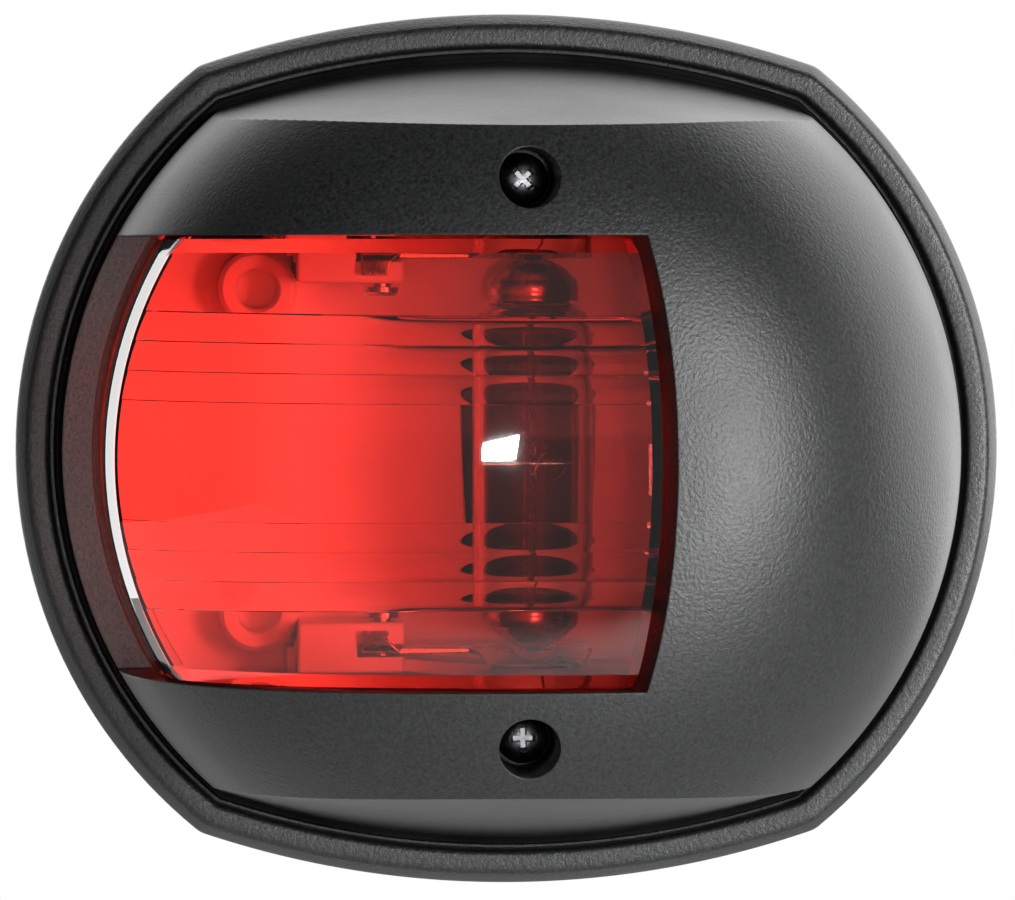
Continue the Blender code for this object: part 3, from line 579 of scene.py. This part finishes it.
lensValues = {
    "power": 3.2,
    "face": {"dome": 0.0370, "rise": 0.0316, "edge": 0.0316, "bevel": 0.0325, "bevelDepth": 0.0247,
             "side": 0.0334},
    "flange": {"dome": 0.0334, "rise": 0.0298, "edge": 0.0322, "bevel": 0.0331, "bevelDepth": 0.0150,
               "side": 0.0334},
    "core": {"dome": 0.0350, "rise": 0.0283, "edge": 0.0302, "bevel": 0.0304, "bevelDepth": 0.0215,
             "side": 0.0308},
    "foot": 0.0070,
    "faceHalf": 0.01705,
    "flangeHalf": 0.01790,
    "chamferWidth": 0.00105,
    "chamferDrop": 0.00080,
    "rightGap": -0.0008,
    "rightLap": 0.0010,
    "lines": (0.0, 0.00445, 0.00665, 0.00887, 0.01106),  # heights where the bands start and end
    "tilts": (7.0, 20.0, 26.0, 31.0),                    # each band's slope in degrees
    "bulges": (0.0180, 0.0034, 0.0034, 0.0034),          # each band's radius
    "prismFade": (-0.022, -0.008, 0.25),    # x where prisms are shallow, x where full, share left
    "stepWidth": 0.00005,
    "sideColumns": 6,
    "bevelColumns": 4,
    "faceColumns": 130,
    "rowsPerPrism": 14,
    "plainRows": 20,
    "gate": (0.0014, 0.0, 0.00105),                     # x, height, radius of the moulding mark
}


def prismRise(x, height):
    # how far the inner face stands forward of a plain one, because of its prism
    v = lensValues
    shallowX, fullX, least = v["prismFade"]
    share = min(1.0, max(0.0, (x - shallowX) / (fullX - shallowX)))
    share = least + (1 - least) * share * share * (3 - 2 * share)
    for low, high, tilt, bulge in zip(v["lines"], v["lines"][1:], v["tilts"], v["bulges"]):
        if low + v["stepWidth"] / 2 < height <= high + v["stepWidth"] / 2:
            start = math.radians(tilt) - (high - low) / 2 / bulge
            here = math.radians(tilt) + (min(height, high) - (low + high) / 2) / bulge
            return share * bulge * math.log(math.cos(start) / math.cos(here))
    return 0.0


def lensRows():
    # heights of the rows of vertices from the middle up, close together at each step
    v = lensValues
    heights = [0.0]
    chamferStart = v["faceHalf"] - v["chamferWidth"]
    bands = list(zip(v["lines"], v["lines"][1:])) + [(v["lines"][-1], chamferStart)]
    for low, high in bands:
        count = v["plainRows"] if high == chamferStart else v["rowsPerPrism"]
        low += v["stepWidth"]
        heights += [low + (high - low) * step / count for step in range(count + 1)]
    return heights


def makeLens():
    v = lensValues
    start = coverValues["domeStart"]
    # past the plain rows come the chamfer, the face's wall, and the flange behind the cover
    kinds = [("face", height) for height in lensRows()]
    kinds += [("chamfer", v["faceHalf"]), ("flange", v["faceHalf"]), ("flange", v["flangeHalf"])]
    rows = [(kind, -height) for kind, height in reversed(kinds[1:])] + kinds
    sideEnd = v["sideColumns"]
    bevelEnd = sideEnd + v["bevelColumns"]
    faceEnd = bevelEnd + v["faceColumns"]

    def frontDepth(shape, x, height, kind):
        reach = min(math.hypot(x, height), shape["dome"] * 0.9995)
        depth = start + shape["rise"] * math.sqrt(1 - (reach / shape["dome"]) ** v["power"])
        if kind == "core":
            depth += prismRise(x, abs(height))
        return depth - (v["chamferDrop"] if kind == "chamfer" else 0.0)

    def place(i, j, layer):
        kind, height = rows[j]
        if layer == 0:
            kind = "core"
        elif i > faceEnd:
            kind = "flange"
        shape = v["face" if kind == "chamfer" else kind]
        edgeX = -math.sqrt(shape["edge"] ** 2 - height ** 2)
        bevelX = -math.sqrt(shape["bevel"] ** 2 - height ** 2)
        sideX = -math.sqrt(shape["side"] ** 2 - height ** 2)
        bevelDepth = shape["bevelDepth"]
        if i <= sideEnd:
            share = i / sideEnd
            return sideX + (bevelX - sideX) * share, height, v["foot"] + (bevelDepth - v["foot"]) * share
        if i <= bevelEnd:
            share = (i - sideEnd) / (bevelEnd - sideEnd)
            top = frontDepth(shape, edgeX, height, kind)
            return bevelX + (edgeX - bevelX) * share, height, bevelDepth + (top - bevelDepth) * share
        shift = v["rightLap"] if i == faceEnd + 2 else v["rightGap"]
        rightX = 0.01
        for step in range(12):
            rightX = windowRightEdge(height, frontDepth(shape, rightX, height, kind), shift)
        share = min(1.0, (i - bevelEnd) / (faceEnd - bevelEnd))
        x = edgeX + (rightX - edgeX) * share
        return x, height, frontDepth(shape, x, height, kind)

    lens = slab("lensMoulding", faceEnd + 2, len(rows) - 1, place)
    x, y, radius = v["gate"]
    front = start + v["face"]["rise"]
    for reach, width in ((radius, 0.00016), (radius * 0.45, 0.00012)):
        ring = [(reach - width, front + 0.001), (reach + width, front + 0.001),
                (reach + width * 0.6, front - 0.0004), (reach - width * 0.6, front - 0.0004)]
        combine(lens, turned("gateRing", ring, 48, (x, y), True))
    finishPiece(lens, "cover", redLens, "red_lens", "lens", degrees=20)


makeLens()
print("lens made")


carrierValues = {
    "inset": 0.0089,
    "back": 0.0043,
    "front": 0.0058,
    "bossRadius": 0.00305,
    "bossHole": 0.0016,
    "bossFloor": 0.0050,                    # thin skin left behind each fixing hole
    "bossFront": 0.0090,
    "cableRadius": 0.0054,
    "blockLeft": -0.0170,
    "blockRight": -0.0087,
    "blockInner": 0.0134,
    "blockOuter": 0.0174,
    "blockFront": 0.0135,
    "slotLeft": -0.0124,
    "sheetMiddle": 0.0156,
    "slotHalf": 0.0005,
    "archRadius": 0.1000,
    "archTop": 0.0170,
    "archWall": 0.0010,
    "archFront": 0.0120,
    "archLeft": -0.0172,
    "archRight": 0.0180,
    "archMiddle": 0.0030,
    "rivet": (-0.0104, 0.0115, 0.0007),     # x, depth, radius
}


def archSlab(sign):
    v = carrierValues
    steps = 36

    def place(i, j, layer):
        x = v["archLeft"] + (v["archRight"] - v["archLeft"]) * i / steps
        radius = v["archRadius"] + (v["archWall"] if j else 0.0)
        y = v["archTop"] - v["archRadius"] + math.sqrt(radius ** 2 - (x - v["archMiddle"]) ** 2)
        return x, sign * y, v["archFront"] if layer else v["front"] - 0.0005
    return slab("arch", steps, 1, place)


def makeCarrier():
    v = carrierValues
    base = basePlateValues
    edge = 0.0003
    plate = followOutline("carrierMoulding", [
        (v["inset"] + edge, v["back"]), (v["inset"], v["back"] + edge),
        (v["inset"], v["front"] - edge), (v["inset"] + edge, v["front"]),
    ])
    fixingX, fixingY = base["fixing"][:2]
    for side, sign in sides:
        for hand in (-1, 1):
            middle = (hand * fixingX, sign * fixingY)
            boss = [(0.0, v["back"]), (v["bossRadius"], v["back"]),
                    (v["bossRadius"], v["bossFront"] - 0.0004),
                    (v["bossRadius"] - 0.0004, v["bossFront"]), (0.0, v["bossFront"])]
            combine(plate, turned("boss", boss, 48, middle), "UNION")
            way = [(0.0, v["bossFloor"]), (v["bossHole"], v["bossFloor"]),
                   (v["bossHole"], v["bossFront"] - 0.0003),
                   (v["bossHole"] + 0.0004, v["bossFront"] + 0.0003), (0.0, v["bossFront"] + 0.0003)]
            combine(plate, turned("bossWay", way, 40, middle))
        inner, outer = sorted((sign * v["blockInner"], sign * v["blockOuter"]))
        holder = block("holder", (v["blockLeft"], inner, v["front"] - 0.0008),
                       (v["blockRight"], outer, v["blockFront"]), 0.00035)
        combine(plate, holder, "UNION")
        combine(plate, archSlab(sign), "UNION")
        for x in (v["blockLeft"] - 0.0004, v["blockRight"] + 0.0060, v["archRight"] - 0.0030):
            sag = (x - v["archMiddle"]) ** 2 / (2 * v["archRadius"])
            y = sign * (v["archTop"] + v["archWall"] * 0.5 - sag)
            low, high = sorted((y, y + sign * 0.0026))
            combine(plate, block("rib", (x - 0.0004, low, v["front"] - 0.0004),
                                 (x + 0.0004, high, v["archFront"] - 0.0022), 0.0001, 1), "UNION")
        low, high = sorted((sign * (v["sheetMiddle"] - v["slotHalf"]),
                            sign * (v["sheetMiddle"] + v["slotHalf"])))
        combine(plate, block("slot", (v["slotLeft"], low, 0.0087), (v["blockRight"] + 0.001, high, 0.020)))
        x, depth, radius = v["rivet"]
        ends = sorted((sign * (v["blockInner"] - 0.001), sign * (v["blockOuter"] + 0.001)))
        rivetWay = turned("rivetWay", [(0.0, ends[0]), (radius + fitGap, ends[0]),
                                       (radius + fitGap, ends[1]), (0.0, ends[1])], 24)
        rivetWay.data.transform(Matrix.Translation((x, 0.0, depth)) @ layDown)
        combine(plate, rivetWay)
        holes = [(0.0, sign * base["wellHeight"], base["postRadius"] + 0.0009),
                 (base["carrierScrew"][0], sign * base["carrierScrew"][1], 0.0014)]
        for x, y, radius in holes:
            combine(plate, turned("hole", [(0.0, 0.003), (radius, 0.003), (radius, 0.0065), (0.0, 0.0065)],
                                  40, (x, y)))
    cable = v["cableRadius"]
    cableHole = [(0.0, 0.003), (cable, 0.003), (cable, 0.0056), (cable + 0.0004, 0.0061), (0.0, 0.0061)]
    combine(plate, turned("cableHole", cableHole, 64, (base["cableX"], 0.0)))
    finishPiece(plate, "base", whitePlastic, "white_plastic", "lamp_carrier", degrees=30)


def crossCutter(middle, front, width, length, depth, turn):
    # cross recess: one bar stretched from a cube, its copy turned a quarter, both narrowing downwards
    bars = []
    for extra in (0.0, math.pi / 2):
        deselect()
        bpy.ops.mesh.primitive_cube_add(size=1.0)
        bar = bpy.context.object
        for vertex in bar.data.vertices:
            narrow = 0.62 if vertex.co.z < 0 else 1.0
            vertex.co = (vertex.co.x * length * narrow, vertex.co.y * width * (1.0 if narrow == 1 else 0.8),
                         depth * (vertex.co.z * 2))
        place = Matrix.Translation((middle[0], middle[1], front))
        bar.data.transform(place @ Matrix.Rotation(turn + extra, 4, "Z"))
        bars.append(bar)
    combine(bars[0], bars[1], "UNION")
    return bars[0]


def threaded(name, head, shank, middle, steps=36):
    # turned head, then a shank with a real helical thread cut in it
    front, tip = shank["front"], shank["tip"]
    rings = shank["rings"]
    pitch = shank["pitch"]
    total = len(head) + rings + 2

    def place(column, ring):
        turn = 2 * math.pi * column / steps
        if ring < len(head):
            reach, depth = head[ring]
        elif ring < len(head) + rings:
            share = (ring - len(head)) / (rings - 1)
            depth = front + (tip - front) * share
            wave = (depth / pitch + column / steps) % 1.0
            ridge = max(0.0, 1 - abs(wave - 0.5) * 4)
            fade = min(1.0, share * 12)
            point = min(1.0, (1 - share) * shank["pointShare"])
            core = shank["core"] * (0.35 + 0.65 * point)
            reach = core + (shank["radius"] - shank["core"]) * ridge * fade * point
        else:
            reach, depth = (0.0, tip)
        return middle[0] + reach * math.cos(turn), middle[1] + reach * math.sin(turn), depth

    return ringStack(name, steps, total - 1, place)


coverScrewValues = {
    "height": 0.0217,
    "head": [(0.0, 0.0282), (0.0006, 0.02819), (0.0010, 0.0281), (0.0014, 0.02795), (0.0017, 0.0277),
             (0.0019, 0.0275), (0.0020, 0.0272), (0.0020, 0.0264), (0.0019, 0.0262), (0.00135, 0.0262)],
    "shank": {"front": 0.0262, "tip": 0.0120, "core": 0.0010, "radius": 0.00135, "pitch": 0.00125,
              "rings": 130, "pointShare": 8.0},
    "cross": {"front": 0.0282, "width": 0.00055, "length": 0.0025, "depth": 0.0011},
    "turns": {"upper": math.radians(43.0), "lower": math.radians(2.0)},
    "seal": [(0.0017, 0.0259), (0.00205, 0.0259), (0.00205, 0.0253), (0.0017, 0.0253)],
}


def makeCoverScrews():
    v = coverScrewValues
    cross = v["cross"]
    for side, sign in sides:
        middle = (0.0, sign * v["height"])
        screw = threaded(side + "CoverScrew", v["head"], v["shank"], middle)
        combine(screw, crossCutter(middle, cross["front"], cross["width"], cross["length"], cross["depth"],
                                   v["turns"][side]))
        finishPiece(screw, side + "_screw", blackSteel, "black_steel", side + "_cover_screw", degrees=35)
        seal = turned(side + "ScrewSealRing", roundedPath(v["seal"] + [v["seal"][0]], 0.0001, 2)[:-1],
                      48, middle, True)
        finishPiece(seal, side + "_seal", softRubber, "soft_rubber", side + "_screw_seal", degrees=60)


carrierScrewValues = {
    "middle": (0.0160, 0.0200),
    "head": [(0.0, 0.0076), (0.0007, 0.00755), (0.0013, 0.0074), (0.0017, 0.0071), (0.0019, 0.0068),
             (0.0019, 0.0061), (0.0009, 0.0061)],
    "shank": {"front": 0.0061, "tip": 0.0014, "core": 0.0007, "radius": 0.0009, "pitch": 0.0008,
              "rings": 60, "pointShare": 6.0},
    "cross": {"front": 0.0076, "width": 0.0004, "length": 0.0020, "depth": 0.0008},
}


def makeCarrierScrews():
    v = carrierScrewValues
    cross = v["cross"]
    for side, sign in sides:
        middle = (v["middle"][0], sign * v["middle"][1])
        screw = threaded(side + "CarrierScrew", v["head"], v["shank"], middle, 28)
        combine(screw, crossCutter(middle, cross["front"], cross["width"], cross["length"], cross["depth"],
                                   math.radians(20.0)))
        finishPiece(screw, "base", brightSteel, "bright_steel", side + "_carrier_screw", degrees=35)


makeCarrier()
makeCoverScrews()
makeCarrierScrews()
print("carrier and screws made")


contactValues = {
    "sheet": 0.0004,
    "middle": 0.0156,
    "tail": -0.0120,
    "tabRight": -0.0096,
    "tabTaper": 0.0004,
    "tabTilt": 0.0002,
    "tabWidth": 0.0016,
    "lipLeft": -0.0030,
    "end": 0.0062,
    "lipTaper": 0.0010,
    "back": 0.0090,
    "front": 0.0140,
    "lipFront": 0.0171,
    "lipRise": 0.0011,
    "hole": (0.0015, 0.0130, 0.0017, 0.0012),       # x, depth, radius, stretch
}


def makeContact(side, sign):
    v = contactValues
    flat = sign * v["middle"]
    deselect()
    bpy.ops.mesh.primitive_grid_add(x_subdivisions=3, y_subdivisions=1, size=2.0)
    piece = bpy.context.object
    piece.name = side + "ContactSpring"
    stations = (v["tail"], v["tabRight"], v["lipLeft"], v["end"])
    for vertex in piece.data.vertices:
        x = stations[round((vertex.co.x + 1) / 2 * 3)]
        vertex.co = (x, flat, v["back"] if vertex.co.y < 0 else v["front"])
    # fold the flared lip and the small tab up from the front edge
    lipReach = v["lipFront"] - v["front"]
    folds = ((v["lipLeft"], v["end"], v["lipTaper"], v["lipRise"], lipReach, v["lipTaper"]),
             (v["tail"], v["tabRight"], 0.0, -v["tabWidth"], v["tabTilt"], v["tabTaper"]))
    for left, right, taperLeft, across, forward, taperRight in folds:
        for edge in piece.data.edges:
            ends = [piece.data.vertices[index].co for index in edge.vertices]
            edge.select = all(abs(end.z - v["front"]) < 1e-6 and left - 1e-6 <= end.x <= right + 1e-6
                              and abs(end.y - flat) < 1e-6 for end in ends)
        for vertex in piece.data.vertices:
            vertex.select = any(vertex.index in edge.vertices for edge in piece.data.edges if edge.select)
        for face in piece.data.polygons:
            face.select = False
        bpy.ops.object.mode_set(mode="EDIT")
        bpy.ops.mesh.select_mode(type="EDGE")
        bpy.ops.mesh.extrude_region_move(TRANSFORM_OT_translate={"value": (0, sign * across, forward)})
        bpy.ops.object.mode_set(mode="OBJECT")
        for vertex in piece.data.vertices:
            if vertex.select and abs(vertex.co.x - left) < 1e-6:
                vertex.co.x += taperLeft
            elif vertex.select and abs(vertex.co.x - right) < 1e-6:
                vertex.co.x -= taperRight
    bends = piece.modifiers.new("bends", "BEVEL")
    bends.width = 0.0006
    bends.segments = 4
    bends.limit_method = "ANGLE"
    bends.angle_limit = math.radians(10)
    sheet = piece.modifiers.new("sheet", "SOLIDIFY")
    sheet.thickness = v["sheet"]
    sheet.offset = 0.0
    sheet.use_even_offset = True
    applyModifiers(piece)
    cleanUp(piece, False)
    x, depth, radius, stretch = v["hole"]
    hole = turned("hole", [(0.0, -0.006), (radius, -0.006), (radius, 0.006), (0.0, 0.006)], 48)
    for vertex in hole.data.vertices:
        if vertex.co.y < -0.00001:
            vertex.co.y -= stretch
    hole.data.transform(Matrix.Translation((x, flat, depth)) @ layDown)
    combine(piece, hole)
    x, depth, radius = carrierValues["rivet"]
    radius += fitGap
    way = turned("rivetWay", [(0.0, -0.004), (radius, -0.004), (radius, 0.004), (0.0, 0.004)], 24)
    way.data.transform(Matrix.Translation((x, flat, depth)) @ layDown)
    combine(piece, way)
    soften(piece, 0.00006, 1, 50)
    finishPiece(piece, side + "_spring", springBrass, "spring_brass", side + "_contact", degrees=35)


rivetValues = {
    "profile": [(0.0, 0.0174), (0.0006, 0.0174), (0.0007, 0.0173), (0.0007, 0.0131), (0.0013, 0.0131),
                (0.0013, 0.0127), (0.0011, 0.0125), (0.0008, 0.0124), (0.0, 0.0124)],
}


def upright(piece, x, depth, sign):
    # turn a piece drawn round the z axis so that its axis runs up the wall
    flip = Matrix.Rotation(math.radians(180) if sign < 0 else 0.0, 4, "X")
    piece.data.transform(Matrix.Translation((x, 0.0, depth)) @ layDown @ flip)
    return piece


for side, sign in sides:
    makeContact(side, sign)
    rivet = upright(turned(side + "ContactRivet", rivetValues["profile"], 32),
                    carrierValues["rivet"][0], carrierValues["rivet"][1], sign)
    finishPiece(rivet, "base", brightSteel, "bright_steel", side + "_contact_rivet", degrees=35)
print("contacts made")


bulbValues = {
    "x": 0.0015,
    "depth": 0.0130,
    "radius": 0.0048,
    "wall": 0.0005,
    "cap": [(0.0, 0.0159), (0.0004, 0.01588), (0.0008, 0.0157), (0.0010, 0.0154), (0.0014, 0.0152),
            (0.0019, 0.0150), (0.0026, 0.0146), (0.0032, 0.0140), (0.0035, 0.0137), (0.0036, 0.0133),
            (0.0036, 0.0128), (0.00355, 0.0126), (0.0036, 0.0124), (0.0036, 0.0121), (0.0032, 0.0121),
            (0.0032, 0.0135), (0.0, 0.0135)],
    "filamentRadius": 0.00011,
    "coilRadius": 0.00020,
    "coilTurns": 40,
    "coilHalf": 0.0062,
}


def tubeAlong(name, points, radius, corners=8):
    # wire: rings of vertices carried along a path of points
    path = [Vector(point) for point in points]

    def place(column, ring):
        here = path[ring]
        ahead = (path[min(ring + 1, len(path) - 1)] - path[max(ring - 1, 0)]).normalized()
        level = ahead.cross(Vector((0.0, 1.0, 0.01))).normalized()
        turn = 2 * math.pi * column / corners
        offset = level * math.cos(turn) + ahead.cross(level) * math.sin(turn)
        return here + offset * radius
    return ringStack(name, corners, len(path), place)


def makeBulb():
    v = bulbValues
    neck = 0.0029
    outer = [(neck, 0.0132), (neck, 0.0119)]
    for step in range(1, 11):
        turn = math.pi / 2 * step / 10
        outer.append((neck + (v["radius"] - neck) * math.sin(turn), 0.0092 + 0.0027 * math.cos(turn)))
    wall = v["wall"]
    inner = [(neck - wall, 0.0132)]
    inner += [(radius - wall, height - (wall if height < 0.0119 else 0.0)) for radius, height in outer[1:]]
    profile = outer + [(radius, -height) for radius, height in reversed(outer)]
    profile += [(radius, -height) for radius, height in inner] + list(reversed(inner))
    glass = upright(turned("bulbGlassTube", profile, 64, isLoop=True), v["x"], v["depth"], 1)
    finishPiece(glass, "bulb", clearGlass, "clear_glass", "bulb_glass", degrees=40)
    for side, sign in sides:
        cap = upright(turned(side + "BulbCap", v["cap"], 56), v["x"], v["depth"], sign)
        finishPiece(cap, "bulb", capMetal, "cap_metal", "bulb_" + side + "_cap", degrees=30)
    # coiled filament between two straight leads
    points = []
    total = v["coilTurns"] * 12
    for step in range(total + 1):
        turn = 2 * math.pi * step / 12
        points.append((v["coilRadius"] * math.cos(turn), -v["coilHalf"] + 2 * v["coilHalf"] * step / total,
                       v["coilRadius"] * math.sin(turn)))
    lead = [(0.0009, 0.0130), (0.0009, 0.0105), (0.0008, 0.0085), (v["coilRadius"], v["coilHalf"] + 0.0006)]
    path = [(x, -height, 0.0) for x, height in lead] + points
    path += [(x, height, 0.0) for x, height in reversed(lead)]
    filament = tubeAlong("bulbFilamentCoil", path, v["filamentRadius"], 8)
    filament.data.transform(Matrix.Translation((v["x"], 0.0, v["depth"])))
    finishPiece(filament, "bulb", tungsten, "tungsten", "bulb_filament", degrees=60)


makeBulb()
print("bulb made")


studioValues = {
    "aim": (0.00016, 0.0, -0.00020),
    "distance": 0.500,
    "azimuth": -2.8,
    "elevation": 1.85,
    "focal": 216.0,
    "floor": -0.30,
}


# each: from, to, value before, value after
skyValues = {
    "rightLean": 0.45,
    "behind": (0.32, 0.80, 0.0, 2.3),
    "left": (-0.90, -0.45, 0.18, 1.0),
    "steep": (0.30, 0.65, 1.0, 0.22),
    "front": 0.47,
}


def pointAt(obj, target):
    obj.rotation_euler = (Vector(target) - obj.location).to_track_quat("-Z", "Y").to_euler()


def makeCamera():
    v = studioValues
    camera = bpy.data.objects.new("camera", bpy.data.cameras.new("camera"))
    bpy.context.scene.collection.objects.link(camera)
    a, e = math.radians(v["azimuth"]), math.radians(v["elevation"])
    away = Vector((math.sin(a) * math.cos(e), -math.cos(a) * math.cos(e), math.sin(e)))
    camera.location = away * v["distance"]
    pointAt(camera, v["aim"])
    camera.data.lens = v["focal"]
    camera.data.sensor_width = 36.0
    camera.data.clip_start = 0.01
    camera.data.clip_end = 20.0
    bpy.context.scene.camera = camera


def makeLamp(name, azimuth, elevation, distance, width, height, power):
    # soft box aimed at the light; azimuth 0 is the camera's side, 90 is the right
    data = bpy.data.lights.new(name, "AREA")
    data.shape = "RECTANGLE"
    data.size = width
    data.size_y = height
    data.energy = power
    lamp = bpy.data.objects.new(name, data)
    bpy.context.scene.collection.objects.link(lamp)
    a, e = math.radians(azimuth), math.radians(elevation)
    lamp.location = Vector((math.sin(a) * math.cos(e), -math.cos(a) * math.cos(e), math.sin(e))) * distance
    pointAt(lamp, (0.0, -0.02, 0.0))


def makeSky():
    # plain white for the camera; as light, bright behind, dim to the left and far up or down
    world = bpy.data.worlds.new("studioSky")
    bpy.context.scene.world = world
    world.use_nodes = True
    tree = world.node_tree
    coords = tree.nodes.new("ShaderNodeTexCoord")
    split = tree.nodes.new("ShaderNodeSeparateXYZ")
    tree.links.new(coords.outputs["Generated"], split.inputs["Vector"])

    def ramp(source, start, end, low, high):
        node = tree.nodes.new("ShaderNodeMapRange")
        node.interpolation_type = "SMOOTHSTEP"
        for name, value in (("From Min", start), ("From Max", end), ("To Min", low), ("To Max", high)):
            node.inputs[name].default_value = value
        tree.links.new(source, node.inputs["Value"])
        return node.outputs["Result"]

    def blend(operation, first, second):
        node = tree.nodes.new("ShaderNodeMath")
        node.operation = operation
        for socket, value in zip(node.inputs, (first, second)):
            if isinstance(value, float):
                socket.default_value = value
            else:
                tree.links.new(value, socket)
        return node.outputs["Value"]

    v = skyValues
    leaning = blend("ADD", split.outputs["Y"], blend("MULTIPLY", split.outputs["X"], v["rightLean"]))
    behind = ramp(leaning, *v["behind"])
    leftward = ramp(split.outputs["X"], *v["left"])
    steep = ramp(blend("ABSOLUTE", split.outputs["Z"], 0.0), *v["steep"])
    front = blend("MULTIPLY", blend("MULTIPLY", leftward, steep), v["front"])
    sky = tree.nodes["Background"]
    tree.links.new(blend("MAXIMUM", front, behind), sky.inputs["Strength"])
    sky.inputs["Color"].default_value = (1.0, 1.0, 1.0, 1.0)
    plain = tree.nodes.new("ShaderNodeBackground")
    plain.inputs["Color"].default_value = (1.0, 1.0, 1.0, 1.0)
    path = tree.nodes.new("ShaderNodeLightPath")
    mix = tree.nodes.new("ShaderNodeMixShader")
    tree.links.new(path.outputs["Is Camera Ray"], mix.inputs["Fac"])
    tree.links.new(sky.outputs["Background"], mix.inputs[1])
    tree.links.new(plain.outputs["Background"], mix.inputs[2])
    tree.links.new(mix.outputs["Shader"], tree.nodes["World Output"].inputs["Surface"])


def makeFloor():
    v = studioValues
    deselect()
    bpy.ops.mesh.primitive_plane_add(size=3.0, location=(0.0, 0.0, v["floor"]))
    floor = bpy.context.object
    floor.name = "studioFloor"
    made, tree, shader = newMaterial("paleFloor")
    cloud = noiseNode(tree, 3.0, 4.0)
    tree.links.new(tint(tree, cloud, (0.82, 0.82, 0.82), (0.88, 0.88, 0.88)), shader.inputs["Base Color"])
    shader.inputs["Roughness"].default_value = 0.7
    floor.data.materials.append(made)


makeCamera()
makeSky()
makeFloor()
makeLamp("rightBox", 33.0, 2.0, 0.9, 0.14, 0.50, 10.0)
makeLamp("frontBox", 1.9, -1.5, 0.9, 0.022, 0.009, 1.1)
bpy.context.scene.view_settings.view_transform = "Standard"
print("studio made")
